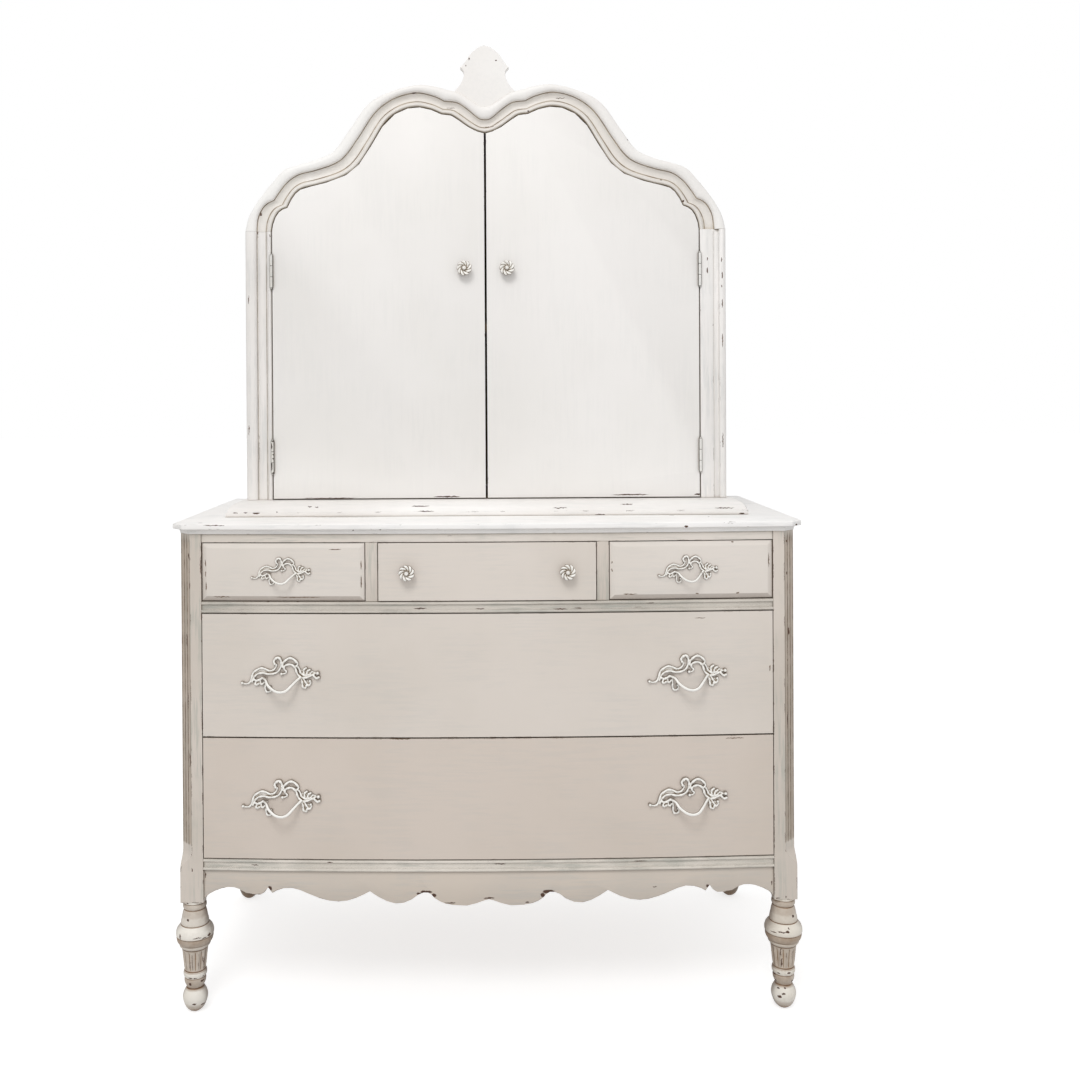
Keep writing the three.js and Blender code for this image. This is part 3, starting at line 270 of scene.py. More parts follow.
DOOR = PaintFinish("door_paint", "painted_hutch", srgb(241, 238, 235), srgb(237, 234, 230),
                   Run.UP, 0.04, wear=0.5, wear_width=1.8 * MM, chips=0.0, hollow_shade_and_dirt=0.6,
                   shade_and_dirt=srgb(150, 134, 108), spots=DOOR_SPOTS)
HUTCH = PaintFinish("hutch_paint", "painted_hutch", HUTCH_WHITE, HUTCH_SHADE,
                    Run.UP, 0.25, wear=0.7, wear_width=2.0 * MM, chips=0.06, hollow_shade_and_dirt=0.4,
                    shade_and_dirt=srgb(150, 134, 108), lines=0.5, spots=HUTCH_SPOTS)
PLINTH = replace(HUTCH, name="plinth_paint", run=Run.ACROSS, streaks=0.1, chips=0.0, lines=0.0)
# Painted shade, tinted beige, in the coves and along the crease, with dirt.
ARCH = PaintFinish("arch_paint", "painted_hutch", srgb(246, 244, 241), srgb(238, 234, 230),
                   Run.NONE, 0.05, wear=0.55, wear_width=1.8 * MM, chips=0.05, hollow_shade_and_dirt=0.8,
                   reach=12 * MM, shade_and_dirt=srgb(172, 154, 126), lines=0.8, spots=ARCH_SPOTS)
# Whiter than the other white paints: a painted highlight where the top and its lip catch the light.
# Painted shade, with dirt, under the lip.
TOP = PaintFinish("top_paint", "painted_hutch", srgb(253, 251, 249), srgb(248, 245, 242),
                  Run.ACROSS, 0.2, wear=0.55, wear_width=1.8 * MM, chips=0.16, hollow_shade_and_dirt=1.35,
                  reach=11 * MM, shade_and_dirt=srgb(158, 140, 118), spots=TOP_SPOTS)
CASE_UPRIGHT = PaintFinish("post_paint", "painted_case", CASE_WHITE, CASE_SHADE,
                           Run.UP, 0.45, streak_colour=srgb(164, 170, 160), wear=0.85,
                           wear_width=2.2 * MM, chips=0.2, hollow_shade_and_dirt=0.9, shade_and_dirt=srgb(134, 114, 90),
                           lines=0.7, spots=POST_SPOTS)
# Painted shade, with dirt, at the feet of the beads and in the corners by the drawers.
CASE_RAIL = PaintFinish("rail_paint", "painted_case", srgb(234, 227, 217), srgb(216, 209, 198),
                        Run.ACROSS, 0.5, streak_colour=srgb(150, 156, 148), wear=0.8,
                        wear_width=1.8 * MM, chips=0.2, hollow_shade_and_dirt=3.5, reach=14 * MM,
                        shade_and_dirt=srgb(140, 132, 120), bare=0.5, spots=RAIL_SPOTS)
MIDDLE_RAIL = replace(CASE_RAIL, name="middle_rail_paint", paint=srgb(217, 210, 200),
                      shade=srgb(198, 191, 181))
TOP_RAIL = replace(CASE_RAIL, name="top_rail_paint", paint=srgb(238, 230, 221), hollow_shade_and_dirt=1.0,
                   reach=6 * MM, shade=srgb(226, 217, 206), streaks=0.3)
APRON = PaintFinish("apron_paint", "painted_case", srgb(216, 204, 191), CASE_SHADE,
                    Run.ACROSS, 0.2, wear=0.9, wear_width=2.4 * MM, chips=0.14, hollow_shade_and_dirt=0.7,
                    bare=1.0, spots=APRON_SPOTS)
# Painted shade on the sides of the leg and in the hollows of the turning, along with dirt and wear.
LEG = PaintFinish("leg_paint", "painted_case", srgb(248, 244, 236), srgb(232, 224, 211),
                  Run.NONE, 0.3, streak_colour=srgb(176, 162, 140), wear=0.9, wear_width=2.2 * MM,
                  chips=0.3, hollow_shade_and_dirt=1.0, reach=14 * MM, shade_and_dirt=srgb(140, 108, 76), flank=(0.0, 0.7),
                  bare=0.55, lines=1.0, spots=LEG_SPOTS)
# Darker paint on the rear legs: painted shade where they stand back under the case, and partly
# unpainted wood.
SHADED_REAR_LEG = replace(LEG, name="rear_leg_paint", paint=srgb(150, 134, 118), shade=srgb(118, 102, 88))
DRAWER = PaintFinish("drawer_paint", "painted_drawer_fronts", srgb(226, 217, 208),
                     srgb(219, 210, 200), Run.ACROSS, 0.1, wear=0.7, wear_width=1.6 * MM,
                     chips=0.0, hollow_shade_and_dirt=0.7, shade_and_dirt=srgb(110, 92, 74), bare=0.9,
                     under=srgb(112, 86, 64), spots=DRAWER_SPOTS)
WIDE_DRAWER = replace(DRAWER, name="wide_drawer_paint", hollow_shade_and_dirt=0.5, bare=0.3)
# Darker paint on the lowest drawer: painted shade, as less light reaches down there.
SHADED_LOWEST_DRAWER = replace(WIDE_DRAWER, name="shaded_lowest_drawer_paint", paint=srgb(219, 207, 196),
                        shade=srgb(212, 200, 188))
# Its flank is tilted up, so the lower and side bevels take painted shade while the upper bevel stays
# light.
BEVELLED = replace(DRAWER, name="bevelled_drawer_paint", paint=srgb(231, 223, 215),
                   shade=srgb(224, 216, 207), flank=(0.83, 0.94),
                   front=(0.0, -0.97, 0.24), bare=0.36)
# Painted shade in the hollows and on the flanks of the ribs, with dark wood where the paint is worn.
CASTING = PaintFinish("casting_paint", "painted_castings", srgb(255, 253, 248),
                      srgb(246, 243, 236), Run.NONE, 0.1, wear=0.2, wear_width=0.8 * MM,
                      chips=0.22, hollow_shade_and_dirt=1.6, reach=4.5 * MM, shade_and_dirt=srgb(150, 130, 102),
                      flank=(0.3, 0.72), bare=0.85, under=srgb(112, 90, 66), roughness=0.38)
# Painted shade on the flanks of the barrel and the leaves, with dark metal where the paint is worn.
HINGE = PaintFinish("hinge_paint", "painted_hinges", srgb(240, 238, 234),
                    srgb(220, 217, 210), Run.NONE, 0.2, wear=0.8, wear_width=1.0 * MM,
                    chips=0.3, hollow_shade_and_dirt=0.9, reach=3 * MM, flank=(0.5, 0.9), bare=0.9,
                    under=srgb(70, 60, 52), roughness=0.4, spots=HINGE_SPOTS)
BARE = WoodFinish("bare_wood", "bare_wood", srgb(178, 141, 98), srgb(128, 92, 58))


# Shader node groups and materials


class Pattern(Enum):
    """How fine each noise is, in waves per metre, and how many octaves of detail it has."""

    WORN_EDGES = (42.0, 6.0)
    STREAKS = (170.0, 3.0)
    STREAKED_AREAS = (9.0, 3.0)
    CHIPS = (120.0, 6.0)
    CHIPPED_AREAS = (13.0, 2.0)
    # Patches of painted shade and dirt in the hollows
    DUST = (26.0, 4.0)
    BRISTLES = (420.0, 3.0)
    LUMPS = (60.0, 4.0)
    RINGS = (34.0, 4.0)
    PORES = (400.0, 2.0)
    # Patches of bare wood and painted shade on the flanks
    BARE_AREAS = (70.0, 4.0)
    DASHES = (30.0, 5.0)
    # Patches of painted shade and dirt round the lines
    SHADE_AND_STAINS = (38.0, 4.0)


class Nodes:
    """A node tree with short ways to add nodes and to join them."""

    noise_roughness = 0.62

    def __init__(self, tree: bpy.types.NodeTree) -> None:
        """Keeps the tree that the nodes go into."""
        self.tree = tree

    def feed(self, node: bpy.types.Node, values: dict[int | str, object]) -> None:
        """Joins outputs to a node's inputs, or sets the inputs to numbers and colours.

        Args:
            node: The node.
            values: What each input holds.
        """
        for key, value in values.items():
            if isinstance(value, Socket):
                self.tree.links.new(value, node.inputs[key])
            else:
                node.inputs[key].default_value = value

    def add(self, kind: str, values: dict[int | str, object] | None = None,
            **settings: object) -> bpy.types.Node:
        """Adds a node.

        Args:
            kind: The node's type, without its ShaderNode prefix.
            values: What each input holds, as a number, a colour or another node's output.
            settings: Properties of the node itself.

        Returns:
            The new node.
        """
        prefix = "" if kind.startswith("NodeGroup") else "ShaderNode"
        node = self.tree.nodes.new(prefix + kind)
        for key, value in settings.items():
            setattr(node, key, value)
        self.feed(node, values or {})
        return node

    def math(self, operation: str, *inputs: object, clamp: bool = False) -> Socket:
        """Adds a Math node.

        Args:
            operation: The name of the operation.
            inputs: Numbers or outputs, in their order.
            clamp: Whether the result stays from 0 to 1.

        Returns:
            The node's output.
        """
        node = self.add("Math", dict(enumerate(inputs)), operation=operation, use_clamp=clamp)
        return node.outputs[0]

    def vector(self, operation: str, *inputs: object) -> Socket:
        """Adds a Vector Math node and returns its number or its vector.

        Args:
            operation: The name of the operation.
            inputs: Vectors or outputs, in their order.

        Returns:
            The node's number for a dot product or a length, and else its vector.
        """
        node = self.add("VectorMath", dict(enumerate(inputs)), operation=operation)
        return node.outputs["Value" if operation in ("DOT_PRODUCT", "LENGTH") else "Vector"]

    def ramp(self, value: Socket, low: object, high: object) -> Socket:
        """Returns a smooth step of a value between two limits.

        Args:
            value: The value.
            low: Where the step starts, a number or an output.
            high: Where it ends.

        Returns:
            The step, from 0 to 1.
        """
        node = self.add("MapRange", {"Value": value, "From Min": low, "From Max": high},
                        interpolation_type="SMOOTHSTEP")
        return node.outputs["Result"]

    def mix(self, share: object, first: object, second: object) -> Socket:
        """Returns a colour mixed from two by a share.

        Args:
            share: The second colour's share.
            first: A colour or an output.
            second: A colour or an output.

        Returns:
            The colour.
        """
        colours = [c if isinstance(c, Socket) else (*c, 1.0) for c in (first, second)]
        node = self.add("Mix", {0: share, 6: colours[0], 7: colours[1]}, data_type="RGBA")
        return node.outputs[2]

    def blend(self, first: Socket, second: Socket, shares: Point2) -> Socket:
        """Adds two values, each times its own share.

        Args:
            first: The first value.
            second: The second value.
            shares: What the two are multiplied with.

        Returns:
            The sum.
        """
        parts = [self.math("MULTIPLY", value, share)
                 for value, share in zip((first, second), shares)]
        return self.math("ADD", *parts)

    def place(self) -> Socket:
        """Returns the point on the piece, in its own coordinates."""
        return self.add("TexCoord").outputs["Object"]

    def bump(self, height: Socket, relief: Point2) -> Socket:
        """Returns the normal of a surface that a height pattern dents.

        Args:
            height: The pattern.
            relief: How strongly it dents, and how deep it goes.

        Returns:
            The normal.
        """
        strength, depth = relief
        node = self.add("Bump", {"Height": height, "Strength": strength, "Distance": depth})
        return node.outputs["Normal"]

    def normal(self) -> Socket:
        """Returns the way that the surface faces, in the piece's own coordinates."""
        return self.add("TexCoord").outputs["Normal"]

    def noise(self, pattern: Pattern, stretch: object = None) -> Socket:
        """Returns a pattern on the piece's own coordinates, stretched where asked.

        Args:
            pattern: How fine the noise is.
            stretch: What the coordinates are multiplied with.

        Returns:
            The noise, from 0 to 1.
        """
        place = self.place()
        if stretch is not None:
            place = self.vector("MULTIPLY", place, stretch)
        scale, detail = pattern.value
        node = self.add("TexNoise", {"Vector": place, "Scale": scale, "Detail": detail,
                                     "Roughness": self.noise_roughness})
        return node.outputs["Fac"]


class Effects:
    """The node groups that the finishes share, each built once."""

    hidden_samples = 6
    edge_turn = (0.01, 0.05)
    edge_openness = (0.72, 0.95)
    edge_reach = 4 * MM
    wear_start, wear_gain, wear_fade = 0.78, 0.3, 0.05
    streak_contrast = (0.42, 0.62)
    streaked_part = (0.36, 0.62)
    chip_shares = (0.72, 0.28)
    chip_start, chip_gain, chip_fade = 0.71, 0.2, 0.015
    # Painted shade and dirt in the hollows
    hollow_shade_depth = (0.12, 0.75)
    least_hollow_shade = 0.45
    mark_shares = (0.6, 0.4)
    ring_contrast = (0.32, 0.7)
    pore_contrast = (0.52, 0.7)
    grain_shares = (0.75, 0.25)
    # Bare wood and painted shade on the flanks
    least_bare_and_shaded = 0.5
    dash_contrast = (0.4, 0.56)
    dash_shares = (0.3, 0.7)
    line_width = (0.3, 0.8)
    # Painted shade and dirt round the lines
    least_stain, stain_gain = 0.4, 3.0
    spot_rim = (1.0, 0.75)

    def __init__(self) -> None:
        """Builds every group."""
        self.edge_wear = self._group(self._edge_wear, "Mask", Width=1 * MM, Amount=0.5)
        self.dry_brush = self._group(self._dry_brush, "Mask", Stretch=EVEN, Amount=0.3)
        self.chips = self._group(self._chips, "Mask", Stretch=EVEN, Amount=0.2)
        self.hollow_shade_and_dirt = self._group(self._hollow_shade_and_dirt, "Mask", Reach=6 * MM, Amount=0.4)
        self.brush_marks = self._group(self._brush_marks, "Height", Stretch=EVEN)
        self.wood_grain = self._group(self._wood_grain, "Grain", Stretch=EVEN)
        self.bare_and_shaded_flank = self._group(self._bare_and_shaded_flank, "Mask", Low=0.2, High=0.5, Front=EVEN)
        self.worn_and_shaded_lines = self._group(self._worn_and_shaded_lines, "Mask", Amount=0.5)
        self.stain = self._group(self._stain, "Mask", Amount=0.5)
        self.spot = self._group(self._spot, "Mask", Place=EVEN, Centre=EVEN, Reach=EVEN)

    @staticmethod
    def _group(recipe: Callable[[Nodes, Outputs], Socket], output: str,
               **inputs: float | Point3) -> bpy.types.NodeTree:
        """Builds one group, which is named after its recipe.

        Args:
            recipe: Takes the group's nodes and its inputs, and returns what the group gives.
            output: The output's name.
            inputs: Each input's first value, with three values for a vector.

        Returns:
            The group.
        """
        group = bpy.data.node_groups.new(recipe.__name__.strip("_"), "ShaderNodeTree")
        for key, value in inputs.items():
            kind = "NodeSocketFloat" if isinstance(value, float) else "NodeSocketVector"
            socket = group.interface.new_socket(key, in_out="INPUT", socket_type=kind)
            socket.default_value = value
        group.interface.new_socket(output, in_out="OUTPUT", socket_type="NodeSocketFloat")
        nodes = Nodes(group)
        given, out = nodes.add("NodeGroupInput"), nodes.add("NodeGroupOutput")
        nodes.feed(out, {output: recipe(nodes, given.outputs)})
        return group

    def _hidden(self, nodes: Nodes, reach: object) -> Socket:
        """Returns how open to the air a place is, from 0 in a deep corner to 1.

        Args:
            nodes: The group's nodes.
            reach: How far off another surface still counts.

        Returns:
            The openness.
        """
        node = nodes.add("AmbientOcclusion", {"Distance": reach}, samples=self.hidden_samples)
        return node.outputs["AO"]

    def _edge_wear(self, nodes: Nodes, given: Outputs) -> Socket:
        """Returns a mask of the outer edges, broken up as a sanding block leaves them.

        Args:
            nodes: The group's nodes.
            given: The group's inputs.

        Returns:
            The mask.
        """
        soft = nodes.add("Bevel", {"Radius": given["Width"]}, samples=self.hidden_samples)
        flat = nodes.add("NewGeometry").outputs["Normal"]
        facing = nodes.vector("DOT_PRODUCT", soft.outputs["Normal"], flat)
        edge = nodes.ramp(nodes.math("SUBTRACT", 1.0, facing), *self.edge_turn)
        convex = nodes.ramp(self._hidden(nodes, self.edge_reach), *self.edge_openness)
        more = nodes.math("MULTIPLY", given["Amount"], self.wear_gain)
        limit = nodes.math("SUBTRACT", self.wear_start, more)
        full = nodes.math("ADD", limit, self.wear_fade)
        broken = nodes.ramp(nodes.noise(Pattern.WORN_EDGES), limit, full)
        return nodes.math("MULTIPLY", nodes.math("MULTIPLY", edge, convex), broken)

    def _dry_brush(self, nodes: Nodes, given: Outputs) -> Socket:
        """Returns a mask of long streaks where a nearly dry brush was dragged.

        Args:
            nodes: The group's nodes.
            given: The group's inputs.

        Returns:
            The mask.
        """
        streaks = nodes.noise(Pattern.STREAKS, given["Stretch"])
        streak = nodes.ramp(streaks, *self.streak_contrast)
        area = nodes.ramp(nodes.noise(Pattern.STREAKED_AREAS), *self.streaked_part)
        return nodes.math("MULTIPLY", nodes.math("MULTIPLY", streak, area), given["Amount"])

    def _chips(self, nodes: Nodes, given: Outputs) -> Socket:
        """Returns a mask of small chips and scratches that run with the brush.

        Args:
            nodes: The group's nodes.
            given: The group's inputs.

        Returns:
            The mask.
        """
        small = nodes.noise(Pattern.CHIPS, given["Stretch"])
        both = nodes.blend(small, nodes.noise(Pattern.CHIPPED_AREAS), self.chip_shares)
        more = nodes.math("MULTIPLY", given["Amount"], self.chip_gain)
        limit = nodes.math("SUBTRACT", self.chip_start, more)
        return nodes.ramp(both, limit, nodes.math("ADD", limit, self.chip_fade))

    def _hollow_shade_and_dirt(self, nodes: Nodes, given: Outputs) -> Socket:
        """Returns a mask of painted shade in the corners, together with the grime and old wax that
        gather there.

        Args:
            nodes: The group's nodes.
            given: The group's inputs.

        Returns:
            The mask.
        """
        depth = nodes.math("SUBTRACT", 1.0, self._hidden(nodes, given["Reach"]))
        uneven = nodes.math("ADD", self.least_hollow_shade, nodes.noise(Pattern.DUST))
        mask = nodes.math("MULTIPLY", nodes.ramp(depth, *self.hollow_shade_depth), uneven)
        return nodes.math("MULTIPLY", mask, given["Amount"], clamp=True)

    def _brush_marks(self, nodes: Nodes, given: Outputs) -> Socket:
        """Returns the height of fine ridges that the bristles left.

        Args:
            nodes: The group's nodes.
            given: The group's inputs.

        Returns:
            The height.
        """
        ridges = nodes.noise(Pattern.BRISTLES, given["Stretch"])
        return nodes.blend(ridges, nodes.noise(Pattern.LUMPS), self.mark_shares)

    def _wood_grain(self, nodes: Nodes, given: Outputs) -> Socket:
        """Returns a share between early and late wood.

        Args:
            nodes: The group's nodes.
            given: The group's inputs.

        Returns:
            The share of late wood.
        """
        rings = nodes.ramp(nodes.noise(Pattern.RINGS, given["Stretch"]), *self.ring_contrast)
        pores = nodes.ramp(nodes.noise(Pattern.PORES, given["Stretch"]), *self.pore_contrast)
        return nodes.blend(rings, pores, self.grain_shares)

    def _bare_and_shaded_flank(self, nodes: Nodes, given: Outputs) -> Socket:
        """Returns a mask of the surfaces that turn away from the front: bare wood where no paint
        held, and painted shade on the flanks.

        Args:
            nodes: The group's nodes.
            given: The group's inputs.

        Returns:
            The mask.
        """
        front = nodes.vector("DOT_PRODUCT", nodes.normal(), given["Front"])
        facing = nodes.ramp(front, given["Low"], given["High"])
        patchy = nodes.math("ADD", self.least_bare_and_shaded, nodes.noise(Pattern.BARE_AREAS), clamp=True)
        return nodes.math("MULTIPLY", nodes.math("SUBTRACT", 1.0, facing), patchy)

    def _worn_and_shaded_lines(self, nodes: Nodes, given: Outputs) -> Socket:
        """Returns a mask along the lines that a piece carries, broken into dashes: paint rubbed
        through, and painted shade in creases and hollows.

        Args:
            nodes: The group's nodes.
            given: The group's inputs.

        Returns:
            The mask.
        """
        drawn = nodes.add("Attribute", attribute_name=LINE).outputs["Fac"]
        dashes = nodes.ramp(nodes.noise(Pattern.DASHES), *self.dash_contrast)
        between, dashed = self.dash_shares
        strength = nodes.math("ADD", between, nodes.math("MULTIPLY", dashes, dashed))
        mask = nodes.math("MULTIPLY", nodes.ramp(drawn, *self.line_width), strength)
        return nodes.math("MULTIPLY", mask, given["Amount"])

    def _stain(self, nodes: Nodes, given: Outputs) -> Socket:
        """Returns a mask of the hollows round a piece's lines: painted shade, with the wax and dust
        that stayed there.

        Args:
            nodes: The group's nodes.
            given: The group's inputs.

        Returns:
            The mask.
        """
        drawn = nodes.add("Attribute", attribute_name=LINE).outputs["Fac"]
        uneven = nodes.math("ADD", self.least_stain, nodes.noise(Pattern.SHADE_AND_STAINS))
        wider = nodes.math("MULTIPLY", drawn, self.stain_gain, clamp=True)
        mask = nodes.math("MULTIPLY", wider, uneven)
        return nodes.math("MULTIPLY", mask, given["Amount"], clamp=True)

    def _spot(self, nodes: Nodes, given: Outputs) -> Socket:
        """Returns a mask of one spot.

        Args:
            nodes: The group's nodes.
            given: The group's inputs.

        Returns:
            The mask.
        """
        away = nodes.vector("SUBTRACT", given["Place"], given["Centre"])
        share = nodes.vector("DIVIDE", away, given["Reach"])
        return nodes.ramp(nodes.vector("LENGTH", share), *self.spot_rim)


def new_material(name: str, roughness: float) -> tuple[bpy.types.Material, Nodes, bpy.types.Node]:
    """Returns a new material, its nodes and its shader.

    Args:
        name: The material's name.
        roughness: How rough it is all over.

    Returns:
        The material, its nodes and its shader.
    """
    made = bpy.data.materials.new(name)
    made.use_nodes = True
    shader = made.node_tree.nodes["Principled BSDF"]
    shader.inputs["Roughness"].default_value = roughness
    return made, Nodes(made.node_tree), shader


class Paintshop:
    """Makes each finish's material once."""

    cloud_scale = 3.2
    cloud_detail = 4.0
    cloud_contrast = (0.35, 0.7)
    ragged_scale = 260.0
    ragged_detail = 3.0
    ragged_reach = 4 * MM
    worn_roughness = 0.22
    mark_height = 0.35
    paint_bump = (0.35, 0.25 * MM)
    wood_bump = (0.3, 0.2 * MM)
    # Painted shade, with dirt, in the corners of bare wood: its reach and amount
    wood_hollow_shade = (12 * MM, 0.3)
    sideways_from = 0.7
    late_wood = 0.6
    # The colour of the painted shade and dirt in bare wood
    wood_shade_and_dirt = srgb(70, 52, 38)

    def __init__(self) -> None:
        """Builds the shared effects."""
        self.effects = Effects()
        self.made: dict[str, bpy.types.Material] = {}

    def material(self, finish: PaintFinish | WoodFinish) -> bpy.types.Material:
        """Returns the material of a finish, made the first time.

        Args:
            finish: The finish.

        Returns:
            The material.
        """
        if finish.name not in self.made:
            build = self._paint if isinstance(finish, PaintFinish) else self._wood
            self.made[finish.name] = build(finish)
        return self.made[finish.name]

    @staticmethod
    def _effect(nodes: Nodes, group: bpy.types.NodeTree, **values: object) -> Socket:
        """Places a shared effect in a material and returns its output."""
        return nodes.add("Group", values, node_tree=group).outputs[0]

    def _spots(self, nodes: Nodes, finish: PaintFinish) -> Iterator[Socket]:
        """Gives a mask with ragged edges for each of a finish's spots.

        Args:
            nodes: The material's nodes.
            finish: The finish with its spots.

        Yields:
            One mask after the other.
        """
        if not finish.spots:
            return
        place = nodes.place()
        ragged = nodes.add("TexNoise", {"Vector": place, "Scale": self.ragged_scale,
                                       "Detail": self.ragged_detail})
        centred = nodes.vector("SUBTRACT", ragged.outputs["Color"], (0.5, 0.5, 0.5))
        shift = nodes.vector("MULTIPLY", centred, (self.ragged_reach,) * 3)
        place = nodes.vector("ADD", place, shift)
        for spot in finish.spots:
            yield self._effect(nodes, self.effects.spot, Place=place, Centre=spot.centre,
                               Reach=spot.reach)

    def _worn(self, nodes: Nodes, finish: PaintFinish) -> Socket:
        """Returns a mask of every place where the paint is gone, and of the painted shade on flanks
        and along lines.

        Args:
            nodes: The material's nodes.
            finish: The amounts of each kind of wear. A kind at zero gets no nodes.

        Returns:
            The mask.
        """
        effects, stretch = self.effects, finish.run.value
        masks = [self._effect(nodes, effects.edge_wear, Width=finish.wear_width,
                              Amount=finish.wear)]
        if finish.chips:
            masks.append(self._effect(nodes, effects.chips, Stretch=stretch, Amount=finish.chips))
        # Paint rubbed through, and painted shade in creases and hollows, along the piece's lines
        if finish.lines:
            masks.append(self._effect(nodes, effects.worn_and_shaded_lines, Amount=finish.lines))
        # Bare wood, with painted shade, on the faces turned away from the front
        if finish.bare:
            low, high = finish.flank
            flank = self._effect(nodes, effects.bare_and_shaded_flank, Low=low, High=high, Front=finish.front)
            masks.append(nodes.math("MULTIPLY", flank, finish.bare))
        masks += self._spots(nodes, finish)
        return reduce(lambda one, other: nodes.math("MAXIMUM", one, other), masks)

    def _paint(self, finish: PaintFinish) -> bpy.types.Material:
        """Builds chalk paint rubbed through at the edges, with painted shade in its hollows, on its
        flanks and along its lines.

        Args:
            finish: The colours and the amounts of each kind of wear.

        Returns:
            The material.
        """
        made, nodes, shader = new_material(finish.name, finish.roughness)
        effects, stretch = self.effects, finish.run.value
        cloud = nodes.add("TexNoise", {"Vector": nodes.place(), "Scale": self.cloud_scale,
                                      "Detail": self.cloud_detail})
        clouded = nodes.ramp(cloud.outputs["Fac"], *self.cloud_contrast)
        colour = nodes.mix(clouded, finish.paint, finish.shade)
        streak = self._effect(nodes, effects.dry_brush, Stretch=stretch, Amount=finish.streaks)
        colour = nodes.mix(streak, colour, finish.streak_colour)
        # Painted shade, with dirt, in the hollows
        shade_and_dirt = self._effect(nodes, effects.hollow_shade_and_dirt, Reach=finish.reach, Amount=finish.hollow_shade_and_dirt)
        colour = nodes.mix(shade_and_dirt, colour, finish.shade_and_dirt)
        # Painted shade, with dirt, round the piece's lines
        if finish.lines:
            stain = self._effect(nodes, effects.stain, Amount=finish.lines)
            colour = nodes.mix(stain, colour, finish.shade_and_dirt)
        worn_and_shaded = self._worn(nodes, finish)
        grain = self._effect(nodes, effects.wood_grain, Stretch=stretch)
        late = tuple(value * self.late_wood for value in finish.under)
        wood = nodes.mix(grain, finish.under, late)
        rougher = nodes.math("MULTIPLY", worn_and_shaded, self.worn_roughness)
        marks = self._effect(nodes, effects.brush_marks, Stretch=stretch)
        height = nodes.math("SUBTRACT", nodes.math("MULTIPLY", marks, self.mark_height), worn_and_shaded)
        nodes.feed(shader, {"Base Color": nodes.mix(worn_and_shaded, colour, wood),
                            "Roughness": nodes.math("ADD", finish.roughness, rougher),
                            "Normal": nodes.bump(height, self.paint_bump)})
        return made

    def _wood(self, finish: WoodFinish) -> bpy.types.Material:
        """Builds plain wood whose grain runs along each board, also where it stands sideways.

        Args:
            finish: The colours and the way of the grain.

        Returns:
            The material.
        """
        made, nodes, shader = new_material(finish.name, finish.roughness)
        aside = nodes.vector("DOT_PRODUCT", nodes.normal(), (1.0, 0.0, 0.0))
        sideways = nodes.math("GREATER_THAN", nodes.math("ABSOLUTE", aside),
                              self.sideways_from)
        stretch = nodes.mix(sideways, finish.run.value, Run.DEEP.value)
        grain = self._effect(nodes, self.effects.wood_grain, Stretch=stretch)
        colour = nodes.mix(grain, finish.light, finish.dark)
        # Painted shade, with dirt, in the corners
        reach, amount = self.wood_hollow_shade
        shade_and_dirt = self._effect(nodes, self.effects.hollow_shade_and_dirt, Reach=reach, Amount=amount)
        nodes.feed(shader, {"Base Color": nodes.mix(shade_and_dirt, colour, self.wood_shade_and_dirt),
                            "Normal": nodes.bump(grain, self.wood_bump)})
        return made


# Mesh making


def new_object(name: str, data: bpy.types.ID) -> bpy.types.Object:
    """Returns a new object that is linked to the scene.

    Args:
        name: The object's name.
        data: Its mesh, lamp or lens.

    Returns:
        The object.
    """
    made = bpy.data.objects.new(name, data)
    bpy.context.scene.collection.objects.link(made)
    return made


def turns(count: int) -> list[float]:
    """Returns equal angles of a full turn, from zero."""
    return [2 * math.pi * index / count for index in range(count)]


def through_knots(stretches: Knots, steps: int | Sequence[int]) -> list[Vector]:
    """Runs smooth curves through knots, one for each stretch between two cusps.

    Args:
        stretches: The knots of each stretch. Two knots alone make a straight line.
        steps: How many steps each stretch gets.

    Returns:
        The points of all stretches in a row, as flat vectors.
    """
    points: list[Vector] = []
    for index, knots in enumerate(stretches):
        count = steps if isinstance(steps, int) else steps[index]
        flat = [Vector((*knot, 0.0)) for knot in knots]
        curve = sweep_points(flat, count if len(knots) > 2 else 1)
        points += curve if not points else curve[1:]
    return points


def sweep_points(knots: Sequence[Vector], steps: int) -> list[Vector]:
    """Returns evenly counted points on a smooth curve through the knots.

    Args:
        knots: The points that the curve runs through.
        steps: How many steps it gets.

    Returns:
        The points.
    """
    points = []
    for step in range(steps + 1):
        place = (len(knots) - 1) * step / steps
        at = min(int(place), len(knots) - 2)
        share = place - at
        before, start = knots[max(at - 1, 0)], knots[at]
        end, after = knots[at + 1], knots[min(at + 2, len(knots) - 1)]
        leave, arrive = (end - before) * 0.5, (after - start) * 0.5
        square, cube = share * share, share ** 3
        points.append(start * (2 * cube - 3 * square + 1) + leave * (cube - 2 * square + share)
                      + end * (3 * square - 2 * cube) + arrive * (cube - square))
    return points


def directions(points: Sequence[Vector]) -> list[Vector]:
    """Returns the way that a row of points runs at each of them."""
    last = len(points) - 1
    return [(points[min(index + 1, last)] - points[max(index - 1, 0)]).normalized()
            for index in range(len(points))]


def solid_piece(name: str, vertices: Sequence[Vector], faces: Sequence[Sequence[int]],
                sharp: float = 35.0) -> bpy.types.Object:
    """Makes a smooth-shaded object with its faces turned outward.

    Args:
        name: The object's name.
        vertices: Its points in metres.
        faces: Its faces.
        sharp: The angle in degrees from which an edge stays crisp.

    Returns:
        The object, linked to the scene.
    """
    mesh = bpy.data.meshes.new(name)
    mesh.from_pydata([tuple(v) for v in vertices], [], [tuple(f) for f in faces])
    shape = bmesh.new()
    shape.from_mesh(mesh)
    bmesh.ops.recalc_face_normals(shape, faces=shape.faces)
    shape.to_mesh(mesh)
    shape.free()
    mesh.shade_smooth()
    mesh.set_sharp_from_angle(angle=math.radians(sharp))
    return new_object(name, mesh)


